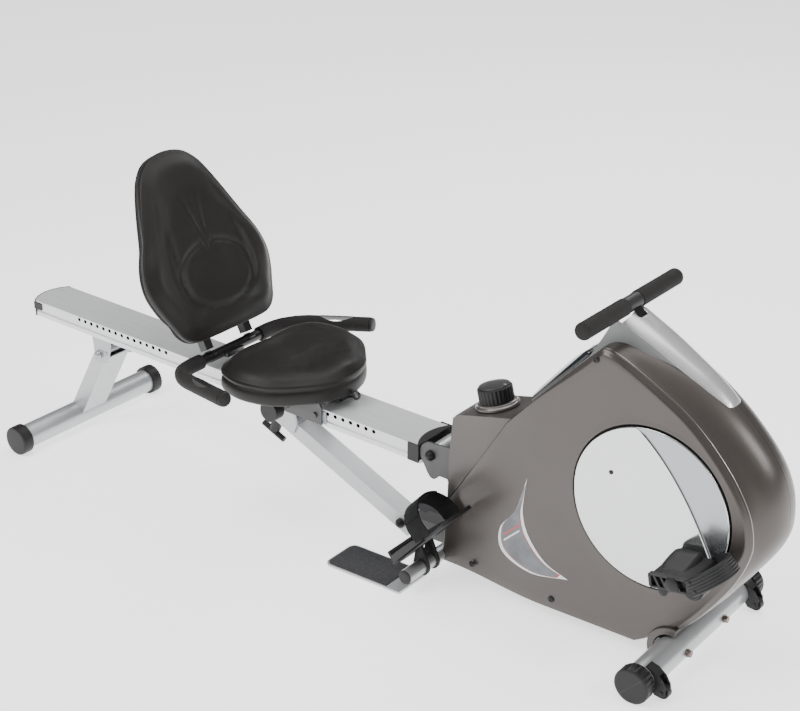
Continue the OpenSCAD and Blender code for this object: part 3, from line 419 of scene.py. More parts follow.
def lamp(name, spot, target, size, power, color=(1, 1, 1)):
    data = bpy.data.lights.new(name, "AREA")
    data.size = size
    data.energy = power
    data.color = color
    ob = bpy.data.objects.new(name, data)
    bpy.context.scene.collection.objects.link(ob)
    ob.location = spot
    ob.rotation_euler = (Vector(target) - Vector(spot)).to_track_quat("-Z", "Y").to_euler()


lamp("key", (-1.2, -2.6, 3.6), (0, 0, 0.3), 2.2, 120)
lamp("top", (0.4, 0.6, 4.0), (0, 0, 0.2), 3.0, 70)
lamp("front", (3.4, 0.4, 2.2), (0.5, 0, 0.3), 1.2, 45)
lamp("rear", (-0.6, 3.6, 3.0), (-0.3, 0, 0.3), 1.6, 40)
world = bpy.data.worlds.new("studio")
world.use_nodes = True
wt = world.node_tree
sky_co = wt.nodes.new("ShaderNodeTexCoord")
sky_xyz = wt.nodes.new("ShaderNodeSeparateXYZ")
sky = wt.nodes.new("ShaderNodeValToRGB")
for place, grey in ((0.0, 0.95), (0.42, 0.8), (0.5, 0.3), (0.72, 0.22), (0.86, 0.6), (1.0, 1.0)):
    e = sky.color_ramp.elements.new(place) if place not in (0.0,
        1.0) else sky.color_ramp.elements[int(place)]
    e.color = (grey, grey, grey, 1)
sky_map = wt.nodes.new("ShaderNodeMapRange")
sky_map.inputs["From Min"].default_value = -1
wt.links.new(sky_co.outputs["Generated"], sky_xyz.inputs["Vector"])
wt.links.new(sky_xyz.outputs["Z"], sky_map.inputs["Value"])
wt.links.new(sky_map.outputs["Result"], sky.inputs["Fac"])
wt.links.new(sky.outputs["Color"], wt.nodes["Background"].inputs["Color"])
wt.nodes["Background"].inputs["Strength"].default_value = 0.62
bpy.context.scene.world = world

floor_mat = material("floor", (0.95, 0.95, 0.95), 0.8, vary=0.005, vary_scale=1.0, spec=0.1, glow=1.4)
floor = bpy.data.meshes.new("floor")
floor.from_pydata([(-30, -30, 0), (30, -30, 0), (30, 30, 0), (-30, 30, 0)], [], [(0, 1, 2, 3)])
floor.materials.append(floor_mat)
floor_ob = bpy.data.objects.new("floor", floor)
bpy.context.scene.collection.objects.link(floor_ob)

# ---------------------------------------------------------------- padded pieces


def pad_mesh(outline, centre, profile, height, n_top=22):
    """Closed polar mesh: a top of height(a, b, fraction) and a side profile [(scale, height)]."""
    n = len(outline)
    secs = []
    for j in range(1, n_top + 1):
        f = (j / n_top) ** 0.85
        ring = []
        for p in outline:
            a, b = centre[0] + f * (p[0] - centre[0]), centre[1] + f * (p[1] - centre[1])
            ring.append((a, b, height(a, b, f)))
        secs.append(ring)
    for k, h in profile:
        secs.append(scaled(outline, centre, k, h))
    verts, faces = rings(secs, caps=(True, True))
    # close the top and the bottom with fans, which subdivide well
    faces = [f for f in faces if len(f) == 4]
    verts.append((centre[0], centre[1], height(centre[0], centre[1], 0.0)))
    top = len(verts) - 1
    faces += [(top, (j + 1) % n, j) for j in range(n)]
    last = (len(secs) - 1) * n
    verts.append((centre[0], centre[1], profile[-1][1]))
    faces += [(len(verts) - 1, last + j, last + (j + 1) % n) for j in range(n)]
    return verts, faces


def simulate(ob, pressure, cap, frames=14):
    """Swells the cover like stuffed fabric, then caps how far each point moved."""
    before = [v.co.copy() for v in ob.data.vertices]
    mod = ob.modifiers.new("cloth", "CLOTH")
    c = mod.settings
    c.use_pressure = True
    c.uniform_pressure_force = pressure
    c.effector_weights.gravity = 0
    c.tension_stiffness = c.compression_stiffness = 40
    c.shear_stiffness = 20
    c.bending_stiffness = 2
    c.quality = 4
    mod.point_cache.frame_end = frames
    for f in range(1, frames + 1):
        bpy.context.scene.frame_set(f)
    dg = bpy.context.evaluated_depsgraph_get()
    done = ob.evaluated_get(dg)
    after = [v.co.copy() for v in done.data.vertices]
    ob.modifiers.remove(mod)
    bpy.context.scene.frame_set(1)
    for v, a, b in zip(ob.data.vertices, before, after):
        d = b - a
        if d.length > cap:
            d *= cap / d.length
        v.co = a + d


def subdivide(ob, levels=1):
    mod = ob.modifiers.new("sub", "SUBSURF")
    mod.levels = mod.render_levels = levels
    dg = bpy.context.evaluated_depsgraph_get()
    me = bpy.data.meshes.new_from_object(ob.evaluated_get(dg))
    ob.modifiers.remove(mod)
    old = ob.data
    ob.data = me
    bpy.data.meshes.remove(old)


def closed_spline(points, n):
    """Catmull-Rom round a closed outline."""
    p = [Vector((*q, 0)) for q in points]
    m = len(p)
    out = []
    for i in range(m):
        near = [p[(i + j) % m] for j in (-1, 0, 1, 2)]
        out += [tuple(between(*near, k / n)[:2]) for k in range(n)]
    return out


def both(half):
    """Closed outline from its half with b >= 0, first and last points on the middle line."""
    return half + [(a, -b) for a, b in half[-2:0:-1]]


# seat: (u, y) outline and height v
seat_half = [(-152, 0), (-158, 50), (-160, 100), (-140, 152), (-98, 172), (-55, 176), (-2, 163),
             (30, 142), (58, 112),
             (82, 84), (97, 58), (107, 28), (110, 0)]
seat_out = closed_spline(both(seat_half), 4)


def seat_height(u, y, f):
    h = 88 - 13 * smooth01((f - 0.84) / 0.16) ** 1.5
    h += 5 * math.exp(-((f - 0.8) / 0.12) ** 2) * smooth01((70 - u) / 120)
    h += 9 * math.exp(-((u - 76) / 30) ** 2) * math.exp(-(y / 40) ** 2)
    h -= 6 * math.exp(-((u - 14) / 36) ** 2) * math.exp(-(y / 90) ** 2)
    h -= 4 * math.exp(-((u + 70) / 60) ** 2) * math.exp(-(y / 26) ** 2)
    return h


seat_profile = [(1.004, 69), (1.0, 65), (0.978, 62), (0.974, 60), (0.99, 57), (1.006, 50), (1.008, 40),
                (1.0, 31), (0.975, 26.5), (0.93, 25.5), (0.6, 27)]
v, f = pad_mesh(seat_out, (-30, 0), seat_profile, seat_height)
seat = make("seat_cushion", v, f, SEAT, VINYL, None)
simulate(seat, 1.2, 0.004)
subdivide(seat, 1)
finish_piece(seat, "seat", ("seat_pad",))

# backrest: (y, z) outline in the back frame, height is x
back_half = [(0, 5), (84, 6), (122, 11), (148, 31), (164, 66), (180, 103), (190, 149), (181, 200),
             (155, 258), (130, 317),
             (108, 364), (86, 400), (52, 428), (0, 438)]
back_out = closed_spline([(z, y) for y, z in back_half] + [(z, -y) for y, z in back_half[-2:0:-1]], 4)


def back_height(z, y, f):
    h = 60 - 14 * smooth01((f - 0.8) / 0.2) ** 1.3
    r = math.hypot((z - 136) / 76, y / 108)
    h -= 4.5 * math.exp(-((r - 1) / 0.07) ** 2)
    h -= 2.5 * smooth01((1 - r) / 0.6)
    w = 7 + 31 * smooth01((z - 215) / 190)
    if z > 200:
        d = abs(abs(y) - w)
        h -= 1.9 * math.exp(-(d / 3.6) ** 2) * smooth01((z - 226) / 25) * smooth01((400 - z) / 40)
    side = abs(y) - (98 + 0.12 * (200 - abs(z - 160)))
    h += 6 * smooth01((side + 10) / 30) * math.exp(-((z - 170) / 110) ** 2) * smooth01((1 - f) / 0.14)
    h -= 3 * math.exp(-((side + 14) / 9) ** 2) * math.exp(-((z - 180) / 110) ** 2)
    return h


back_profile = [(1.003, 42), (1.003, 36), (1.0, 31), (0.988, 28.5), (0.986, 27.5), (1.0, 25), (1.002, 21),
                (0.99, 17.5), (0.95, 16.5), (0.6, 16.3)]
v, f = pad_mesh(back_out, (190, 0), back_profile, back_height)
v = [(h, y, z + 39) for z, y, h in v]
backrest = make("back_cushion", v, f, BACK, VINYL, None)
simulate(backrest, 1.2, 0.004)
subdivide(backrest, 1)
finish_piece(backrest, "seat", ("backrest_pad",))

# ---------------------------------------------------------------- small helpers for hard pieces


def merge(parts):
    """One mesh in WORLD from [(verts, faces, matrix)]."""
    verts, faces = [], []
    for v, f, m in parts:
        n = len(verts)
        verts += [tuple(m @ Vector(p)) for p in v]
        faces += [tuple(n + i for i in q) for q in f]
    return verts, faces


def put(name, parts, mat, body, **kw):
    v, f = merge(parts)
    return make(name, v, f, Matrix.Identity(4), mat, body, **kw)


def slab_y(outline, y0, y1, edge):
    """Rounded slab from an (x, z) outline between two y."""
    v, f = soft_slab(outline, y0, y1, edge)
    return [(a, h, b) for a, b, h in v], f


def box(lo, hi, edge=1.0):
    """Box with softened edges along z."""
    w, d = hi[0] - lo[0], hi[1] - lo[1]
    o = [(x + (lo[0] + hi[0]) / 2, y + (lo[1] + hi[1]) / 2) for x,
         y in rounded_box(w, d, min(edge * 2, w / 2.2, d / 2.2), 3)]
    return soft_slab(o, lo[2], hi[2], min(edge, (hi[2] - lo[2]) / 2.2, w / 2.2, d / 2.2))


def fillet(points, radii, n=8):
    """Polyline whose inner corners are rounded by quadratic curves that start radius from the corner."""
    p = [Vector(q) for q in points]
    out = [p[0]]
    for i in range(1, len(p) - 1):
        a = p[i] + (p[i - 1] - p[i]).normalized() * radii[i - 1]
        b = p[i] + (p[i + 1] - p[i]).normalized() * radii[i - 1]
        for k in range(n + 1):
            t = k / n
            out.append(a * (1 - t) ** 2 + p[i] * 2 * t * (1 - t) + b * t * t)
    out.append(p[-1])
    return out


def resample(path, step):
    """Same polyline with points about step apart."""
    out = [path[0]]
    for a, b in zip(path, path[1:]):
        n = max(1, int((b - a).length / step))
        out += [a + (b - a) * (k + 1) / n for k in range(n)]
    return out


def hose(path, r, ends=3.0, n=28, step=5.0):
    """Round bar along a path with softened ends."""
    q = resample(path, step)
    first = [q[0] + (q[1] - q[0]).normalized() * d for d in (0.0, ends * 0.3, ends * 0.7)]
    last = [q[-1] + (q[-2] - q[-1]).normalized() * d for d in (ends * 0.7, ends * 0.3, 0.0)]
    body = [v for v in q if (v - q[0]).length > ends and (v - q[-1]).length > ends]
    path2 = first + body + last
    rad = [r - ends, r - ends * 0.35, r - ends * 0.08] + [r] * len(body) + [r - ends * 0.08,
        r - ends * 0.35, r - ends]
    up = Vector((0, 0, 1))
    out = []
    for i, v in enumerate(path2):
        t = (path2[min(i + 1, len(path2) - 1)] - path2[max(i - 1, 0)]).normalized()
        side = t.cross(up).normalized()
        w = side.cross(t)
        out.append([tuple(v + side * a * rad[i] + w * b * rad[i]) for a, b in round_shape(1.0, n)])
    return rings(out)


SIDES = (-1, 1)
SIDE_NAME = {-1: "right", 1: "left"}
FLIP = {-1: Matrix.Identity(4), 1: MIRROR}


def both_sides(part, frame_at=WORLD):
    """A (verts, faces) part of the right side and its mirror image."""
    return [(*part, frame_at @ FLIP[s]) for s in SIDES]


def cut_away(ob, tool):
    """Takes the solid of tool out of ob and removes the tool."""
    cut = ob.modifiers.new("cut", "BOOLEAN")
    cut.object = tool
    cut.solver = "EXACT"
    after = bpy.data.meshes.new_from_object(ob.evaluated_get(bpy.context.evaluated_depsgraph_get()))
    ob.modifiers.clear()
    ob.data = after
    bpy.data.objects.remove(tool)


# ---------------------------------------------------------------- drive housing

CENTRE_LINE = [(1193, 28, 1), (1211, 176, 1), (1376, 414, 1), (1580, 622, 0), (1625, 646, 0),
               (1729, 615, 0), (1800, 571, 0),
               (1862, 521, 0), (1924, 452, 0), (1947, 395, 0), (1951, 345, 0), (1946, 300, 0),
               (1916, 245, 0), (1800, 92, 0), (1681, 25, 1)]
RIDGE_LINE = [(1193, 28, 1), (1211, 176, 1), (1376, 414, 1), (1572, 614, 0), (1585, 628, 0),
              (1622, 624, 0), (1705, 580, 0), (1788, 530, 0),
              (1861, 453, 0), (1904, 385, 0), (1917, 329, 0), (1914, 287, 0), (1880, 208, 0),
              (1778, 73, 0), (1681, 25, 1)]


def soften(line, times=3):
    """Chaikin corner cutting that keeps the points marked 1."""
    for _ in range(times):
        out = []
        for i, (x, z, k) in enumerate(line):
            px, pz = line[i - 1][:2]
            nx, nz = line[(i + 1) % len(line)][:2]
            if k:
                out.append((x, z, 1))
            else:
                out.append((x * 0.75 + px * 0.25, z * 0.75 + pz * 0.25, 0))
                out.append((x * 0.75 + nx * 0.25, z * 0.75 + nz * 0.25, 0))
        line = out
    return np.array([q[:2] for q in line])


def reach(line, angle):
    """Distance from the crank to the outline along an angle."""
    d = np.array((math.cos(angle), math.sin(angle)))
    a = line - np.array(CRANK)
    b = np.roll(a, -1, axis=0)
    e = b - a
    den = d[0] * e[:, 1] - d[1] * e[:, 0]
    den = np.where(abs(den) < 1e-9, 1e-9, den)
    t = (a[:, 0] * e[:, 1] - a[:, 1] * e[:, 0]) / den
    s = (a[:, 0] * d[1] - a[:, 1] * d[0]) / den
    ok = (s >= -1e-9) & (s <= 1 + 1e-9) & (t > 0)
    return float(t[ok].max())


centre_soft, ridge_soft = soften(CENTRE_LINE), soften(RIDGE_LINE)
corner_angles = [math.atan2(z - CRANK[1], x - CRANK[0]) for x, z, k in CENTRE_LINE if k]
thetas = sorted(set([2 * math.pi * i / 288 - math.pi for i in range(288)] + corner_angles))
DISC_HOLE = 170.0


def panel_depth(x):
    return 61 + 24 * smooth01((x - 1215) / 250)


def shell(side, body):
    secs, bead_line = [], []
    for th in thetas:
        rc, rr = reach(centre_soft, th), reach(ridge_soft, th)
        c, s = math.cos(th), math.sin(th)
        rr = min(rr, rc)
        xr = CRANK[0] + rr * c
        edge = panel_depth(xr)
        rear = 1 - smooth01((xr - 1430) / 130)
        low = smooth01((60 - (CRANK[1] + rr * s)) / 30)
        flat = max(rear, low)
        ridge_y = edge - 12 * (1 - flat) - 2.5 * flat
        pts = [(DISC_HOLE, 74), (DISC_HOLE, 83.5), (DISC_HOLE + 1.0, 85.2), (DISC_HOLE + 3, 85.6),
               (DISC_HOLE + 6, 85)]
        inner = rr - 13 * (1 - flat) - 3 * flat
        for k in range(1, 9):
            r = DISC_HOLE + 6 + (inner - DISC_HOLE - 6) * k / 8
            pts.append((r, panel_depth(CRANK[0] + r * c)))
        span = rr - inner
        start = panel_depth(CRANK[0] + inner * c)
        for k in range(1, 9):
            t = k / 8
            lift = 2.3 * (1 - flat) * math.exp(-((t - 0.9) / 0.2) ** 2)
            pts.append((inner + span * t, start + (ridge_y - start) * t ** 1.5 + lift))
        if flat < 0.35 and CRANK[1] + rr * s > 70:
            r_bead = rr - 0.6
            y_bead = side * (ridge_y + 1.0 * (1 - flat) - 0.5)
            bead_line.append(Vector((CRANK[0] + r_bead * c, y_bead, CRANK[1] + r_bead * s)))
        p0, p1, p2 = (rr + 1.0, ridge_y - 1.5), (rc, (46 if not flat > 0.5 else ridge_y - 3)), (rc, 0.35)
        for k in range(1, 11):
            t = k / 10
            q = [(1 - t) ** 2 * a + 2 * t * (1 - t) * b + t * t * d for a, b, d in zip(p0, p1, p2)]
            if flat > 0:
                lin = (rc, (ridge_y - 1.5) * (1 - t) + 0.35 * t)
                q = [a * (1 - flat) + b * flat for a, b in zip(q, lin)]
            pts.append(tuple(q))
        pts.append((rc - 3, 0.35))
        secs.append([(CRANK[0] + r * c, side * y, CRANK[1] + r * s) for r, y in pts])
    secs.append(secs[0])
    verts, faces = rings(secs, closed=False, caps=(False, False))
    # painted highlight: a thin bead along the ridge in the paler highlight colour
    bead = sweep(bead_line, lambda t: round_shape(0.25 + 1.35 * math.sin(math.pi * t) ** 0.4, 8),
                 up=(0, 1, 0))
    which = SIDE_NAME[side]
    put("ridge_highlight_bead_" + which, [(*bead, WORLD)], RIDGE_HIGHLIGHT, body, slot="housing_plastic")
    return make("housing_" + which, verts, faces, WORLD, HOUSING, body, angle=35, slot="housing_plastic",
                replaces=(which + "_shell",))


shell(-1, "base")
shell(1, "base")

# ---------------------------------------------------------------- painted shade: dark sleeves in the rail's lock holes and dark strips behind them

HOLE_PITCH, HOLE_DROP = 21.62, 8.3
places = [first + HOLE_PITCH * k for first, count in ((164.1, 15), (861, 12)) for k in range(count)]
# painted shade: dark sleeves in the lock holes stand for the shade inside the hollow rail
painted_hole_shade = ring_solid([(4.78, -55.3), (4.5, -55.3), (4.5, -49.9), (4.78, -49.9)], 20)
put("rail_hole_painted_shade", [(*painted_hole_shade, RAIL @ Matrix.Translation((u, 0, -HOLE_DROP))) for u in places], PAINTED_SHADE,
    "rail", slot="black_plastic")
# painted shade: dark strips inside the rail behind the holes
put("rail_hole_shades", [(*box((u0, -41, -26), (u1, -40, -4.6), 0.4), RAIL) for u0,
                         u1 in ((150, 500), (848, 1140))], PAINTED_SHADE, "rail", slot="black_plastic")

# ---------------------------------------------------------------- silver fin over the top

FIN = [(1612, 671, 44.5, 14), (1628, 663, 43.5, 14), (1655, 649.5, 42, 14), (1690, 631, 40, 13),
       (1730, 607, 37, 13), (1770, 583, 33, 12),
       (1800, 562, 30, 11), (1822, 545, 27, 9), (1832, 535, 25, 5)]
tilt = 40 * RAD
secs = []
for p in spline([f[:3] for f in FIN], 5):
    x, z, w = p
    crown = float(np.interp(x, [f[0] for f in FIN], [f[3] for f in FIN]))
    ring = []
    for k in range(-10, 11):
        t = k / 10
        ring.append((w * t, crown * (1 - abs(t) ** 2.6)))
    ring += [(w + 0.4, -1.6), (w - 2.6, -2.0)]
    for k in range(10, -11, -1):
        t = k / 10
        ring.append(((w - 3) * t, (crown - 2.6) * (1 - abs(t) ** 2.6) - 1.0))
    ring += [(-w + 2.6, -2.0), (-w - 0.4, -1.6)]
    secs.append([(x + v * math.sin(tilt), y, z + v * math.cos(tilt)) for y, v in ring])
v, f = rings(secs)
spine = put("fin_spine", [(v, f, WORLD)], SILVER_PLASTIC, None)
notch = put("notch", [(*box((1560, -15, 600), (1634, 15, 720), 3), WORLD)], SILVER_PLASTIC, None)
cut_away(spine, notch)
finish_piece(spine, "base", ("top_fin",))

top_line = [(1596, -45, 676), (1612, -44.2, 669), (1655, -41.6, 647), (1690, -39.6, 628.5),
            (1730, -36.6, 604.5), (1770, -32.6, 580.5), (1832, -25, 533)]
low_line = [(1548, -58, 588), (1590, -59, 606), (1650, -60, 604), (1710, -55, 584), (1790, -40, 548),
            (1832, -28, 526)]
T, L = spline(top_line, 8), spline(low_line, 8)
secs = []
for a, b in zip(T, L):
    mid = (a + b) / 2 + Vector((0, 5, 0)) * min(1, (a - b).length / 60)
    row = [a, a * 0.5 + mid * 0.5 + Vector((0, 1.2, 0)), mid, mid * 0.5 + b * 0.5 + Vector((0, 1.0, 0)), b]
    inner = [q + Vector((-1, 2.4, -1)) for q in reversed(row)]
    secs.append([tuple(q) for q in row + inner])
v, f = rings(secs)
put("fin_sides", both_sides((v, f)), FIN_SIDE, "base", angle=50, slot="silver_plastic")

# ---------------------------------------------------------------- console, tension knob

out = [(a + 100, b) for a, b in rounded_box(202, 100, 12, 5)]
secs = []
for inset, h in ((3, -8), (0.6, -5), (0, 0), (0.6, 3), (3, 5.5), (7, 7)):
    ring = []
    for a, b in out:
        k = 1 - inset / 50
        aa, bb = 100 + (a - 100) * (1 - inset / 100), b * k
        bow = 11 * (1 - ((aa - 100) / 101) ** 2) if h > 0 else 0
        ring.append((aa, bb, h + bow))
    secs.append(ring)
v, f = rings(secs, caps=(True, False))
top = secs[-1]
n = len(top)
grid = [[(100 + (a - 100) * q, b * q, 7 + 11 * (1 - ((a - 100) * q / 101) ** 2)) for a, b, _ in top]
        for q in (0.8, 0.6, 0.4, 0.2)]
v2, f2 = rings([top] + grid, caps=(False, True))
put("console_case", [(v, f, CONSOLE), (v2, f2, CONSOLE)], BLACK_GLOSS, "base", angle=50,
    slot="console_plastic", replaces=("console",))

KNOB_PROFILE = [(5, 12.4), (35, 12.4), (36.6, 13.6), (37, 16), (37, 40), (36.4, 42), (35, 43.4), (33, 44.2)]
put("knob_grip", [(*lathe(KNOB_PROFILE + [(5, 44.2)], 216, "z", ribs=27, rib=1.9, rib_span=(14, 41.5)),
                   KNOB)], BLACK_PLASTIC,
    "tension_knob", angle=50, slot="knob_plastic", replaces=("tension_knob",))
put("knob_face", [(*lathe([(4, 44.3), (33, 44.3), (33.4, 45.2), (32.6, 46.4), (27, 47.6), (14, 48.4),
                           (4, 48.5)], 72, "z"), KNOB)],
    KNOB_TOP, "tension_knob", slot="knob_plastic")
put("knob_mark", [(*box((24, -1.2, 47.2), (31, 1.2, 48.3), 0.3), KNOB)], DECAL_EDGE, "tension_knob",
    slot="knob_plastic")
put("knob_ring", [(*lathe([(6, -13), (7.6, -13), (7.6, 0.3), (44, 0.3), (46.3, 1.2), (46.6, 3), (46, 6),
                           (44.6, 7.4), (42.6, 8), (41.8, 9), (41.6, 11),
    (40.4, 12), (6, 12)], 96, "z"), KNOB)], TAUPE_TRIM, "base", slot="silver_plastic",
    replaces=("knob_base",))

# ---------------------------------------------------------------- rowing handle and its strap

HANDLE = at(1603, 693)
grip = [(11.3, 23), (15.8, 23), (16.8, 24), (17, 26), (17, 160), (17.2, 162), (17.0, 166), (15.5, 169.3),
        (12, 170.6), (6, 171), (0.5, 171)]
v, f = lathe(grip, 64)
put("row_grips", both_sides((v, f), HANDLE), FOAM, "row_handle", slot="foam", replaces=("row_grip",))

strap_line = fillet([(1614.6, 0, 688.4), (1645, 0, 661.5), (1655, 0, 650), (1601.5, 0, 472.5)], [6, 8], 8)
strap_line = resample(strap_line, 4)
v, f = sweep(strap_line, rounded_box(1.9, 26, 0.8, 2), up=(0, 1, 0))
strap = put("pull_strap_cloth", [(v, f, WORLD)], WEBBING, None, angle=50, slot="webbing",
            replaces=("pull_strap",))

# ---------------------------------------------------------------- seat handlebar

BAR = [Vector(q) for q in ((541, 150, 340), (575, 196, 346), (761, 249, 364))]


def mirror_y(q):
    return Vector((q.x, -q.y, q.z))


path = fillet([BAR[2], BAR[1], BAR[0], mirror_y(BAR[0]), mirror_y(BAR[1]), mirror_y(BAR[2])],
              [44, 26, 26, 44], 10)
clamp = [(*box((533, -29, 329), (559, 29, 341), 1.5), WORLD)]
clamp += [(*box((530, s * 65 - 11, 340), (552, s * 65 + 11, 351.2), 1.5), WORLD) for s in SIDES]
put("bar_tube", [(*hose(path, 12.7), WORLD)] + clamp, BLACK_PAINT, "seat", slot="black_paint",
    replaces=("handlebar",))
way = (BAR[2] - BAR[1]).normalized()
foam_path = fillet([Vector((541, 96, 340)), BAR[0], BAR[1], BAR[2] + way * 1.0], [26, 44], 10)
v, f = hose(foam_path, 17.6, 2.5)
put("bar_foam", both_sides((v, f)), FOAM, "seat", slot="foam", replaces=("bar_grips",))
v, f = hose([BAR[2] + way * 0.6, BAR[2] + way * 6.5], 16.4, 2.4, step=2)
put("bar_plugs", both_sides((v, f)), BLACK_PLASTIC, "seat", slot="black_plastic")
plate_path = [BAR[1] + (BAR[2] - BAR[1]) * (0.34 + 0.44 * k / 14) for k in range(15)]


def leaf(t):
    """Cross section of the pulse plate: a thin arc over the foam, narrowing to both ends."""
    half = 6 + 46 * math.sin(math.pi * min(0.97, max(0.03, t))) ** 0.7
    return arc(0, 0, 18.5, 90 - half, 90 + half, 14) + arc(0, 0, 17.2, 90 + half, 90 - half, 14)


v, f = sweep(plate_path, leaf)
put("pulse_plate_pair", both_sides((v, f)), PLATE, "seat", slot="plate_chrome", replaces=("pulse_plates",))

# ---------------------------------------------------------------- crank discs with their curved crease

crease = []
for k in range(61):
    t = k / 60
    a, b, c = Vector((-33.6, 161.3)), Vector((66, 88)), Vector((140.0, -87.0))
    crease.append(a * (1 - t) ** 2 + b * 2 * t * (1 - t) + c * t * t)
R_IN = 164.8


def rim_arc(a, b, turn, count):
    """Rim points from a to b, turning the way that turn says."""
    a0, a1 = math.atan2(a.y, a.x), math.atan2(b.y, b.x)
    while turn * (a1 - a0) < 0:
        a1 += turn * 2 * math.pi
    turns = [a0 + (a1 - a0) * k / count for k in range(count + 1)]
    return [Vector((R_IN * math.cos(a), R_IN * math.sin(a))) for a in turns]


def disc_frame(side):
    """Crank axis, turned half round for the left disc."""
    return at(*CRANK) @ Matrix.Rotation(math.pi if side > 0 else 0, 4, "Z")


count = len(crease) - 1
left_arc, right_arc = rim_arc(crease[0], crease[-1], 1, count), rim_arc(crease[0], crease[-1], -1, count)
parts, lens, shine = [], [], []
for s in SIDES:
    m = disc_frame(s)
    # the recessed half in front of the crease (lens) takes the darker disc finish, a painted reflection of
    # the housing
    for border, deep in ((left_arc, 0.0), (right_arc, 3.2)):
        secs = []
        for c, q in zip(crease, border):
            row = []
            for k in range(13):
                t = k / 12
                p = c.lerp(q, t)
                gone = deep * (1 - t) ** 1.6 * min(1, (q - c).length / 20)
                row.append((p.x, -88.4 + gone, p.y))
            secs.append(row)
        (lens if deep else parts).append((*rings(secs, closed=False, caps=(False, False)), m))
    parts.append((*lathe([(R_IN, -88.4), (166, -88.1), (166.5, -87.4), (166.5, -84.6), (160, -84.2),
                          (20, -84.2)], 144, caps=(False, True)), m))
    # painted highlight: a thin glowing tube along each crease
    shine.append((*sweep([Vector((p.x, -88.1, p.y)) for p in crease[1:-1]], round_shape(1.15, 6),
                         up=(0, 1, 0)), m))
put("disc_pair", parts, DISC, "crank", angle=60, slot="disc_plastic", replaces=("crank_discs",))
put("disc_painted_reflection_halves", lens, DISC_PAINTED_REFLECTION, "crank", angle=60, slot="disc_plastic")
put("disc_crease_highlights", shine, GLOWING_CREASE_HIGHLIGHT, "crank", slot="disc_plastic")
screws = []
for s in SIDES:
    m = disc_frame(s)
    for dx, dz in ((-84, 54), (80, -64)):
        screws.append((*lathe([(4.6, -88.2), (4.6, -89.4), (3.4, -90.2), (0.4, -90.4)], 20),
                       m @ Matrix.Translation((dx, 0, dz))))
put("disc_screws", screws, BLACK_PLASTIC, "crank", slot="black_plastic")
# painted shade: a dark ring behind the gap round each disc stands for the shade inside the housing
gap_shade_ring = ring_solid([(160, -81.5), (171.5, -81.5), (171.5, -83.2), (160, -83.2)], 144)
put("disc_gap_painted_shade", both_sides(gap_shade_ring, at(*CRANK)), PAINTED_SHADE, "base", slot="black_plastic")

# ---------------------------------------------------------------- pedals

BODY_LINE = [(-47, -8), (-48, 4), (-45, 12), (-36, 15), (-4, 15.5), (28, 15), (39, 13), (44, 7), (44, -6),
             (38, -12), (0, -13), (-32, -13)]


# stations of the toe cage: y, height of its roof, width factor
CAGE = [(-172, 14, 0.80), (-164, 16, 0.9), (-150, 18.5, 0.97), (-134, 21.5, 1.0), (-118, 24.5, 1.0),
        (-106, 26, 0.98), (-99, 24.5, 0.9)]


def pedal_parts(m):
    """Body, toe cage, side frame, lobes and spindle boss of a pedal."""
    out = [(*slab_y(closed_spline(BODY_LINE, 3), -184, -99, 2.5), m)]
    # toe cage: its roof rises towards the machine
    secs = []
    for y, top, k in CAGE:
        ring = []
        for i in range(17):
            t = i / 16
            x = -10 - 36 * k * math.cos(math.pi * t) * (1 if t < 0.5 else 0.8)
            ring.append((x, y, 8 + (top - 8) * min(1, math.sin(math.pi * t) * 1.5) ** 0.6))
        secs.append(ring + [(12, y, 4), (-40, y, 4)])
    out.append((*rings(secs), m))
    # outer side: a frame with slanted slots
    bars = [((-47, -12), (42, -12), 4), ((-47, 13), (42, 13), 4), ((-46, -12), (-46, 13), 6),
            ((36, -12), (36, 13), 14)]
    bars += [((x - 5, 12), (x + 5, -11), 5) for x in (-32, -18, -4, 10)]
    for (xa, za), (xb, zb), w in bars:
        d = Vector((xb - xa, zb - za)).normalized()
        nrm = Vector((-d.y, d.x)) * w / 2
        o = [(xa + nrm.x, za + nrm.y), (xa - nrm.x, za - nrm.y), (xb - nrm.x, zb - nrm.y),
             (xb + nrm.x, zb + nrm.y)]
        out.append((*slab_y(o, -193, -183, 1.0), m))
    # lobes of the weight that keeps the sole upright
    lobe = [(0, -12)] + arc(22, -22, 22, 190, 350, 14) + [(44, -12)]
    out.append((*slab_y(lobe, -160, -116, 2.0), m))
    lobe = [(4, -12)] + arc(22, -22, 17, 190, 350, 12) + [(40, -12)]
    out.append((*slab_y(lobe, -166, -110, 2.0), m))
    lobe = [(-38, -12)] + arc(-27, -24, 10, 180, 360, 10) + [(-16, -12)]
    out.append((*slab_y(lobe, -184, -150, 3.0), m))
    # spindle boss
    out.append((*lathe([(0.5, -197.4), (11, -197.2), (13.6, -195.6), (14.5, -193), (14.5, -186)], 28), m))
    return out


def strap_band(width, t, ribs, depth):
    """Cross section of a band: (thickness, width), ribbed on its outside."""
    outer = []
    steps = ribs * 6
    for i in range(steps + 1):
        w = width * (i / steps - 0.5)
        edge = min(1, (width / 2 - abs(w)) / 1.5)
        outer.append((t * (0.35 + 0.65 * edge) - depth * (0.5
            + 0.5 * math.cos(2 * math.pi * ribs * i / steps)) * edge, w))
    return outer + [(0, width / 2), (0, -width / 2)]


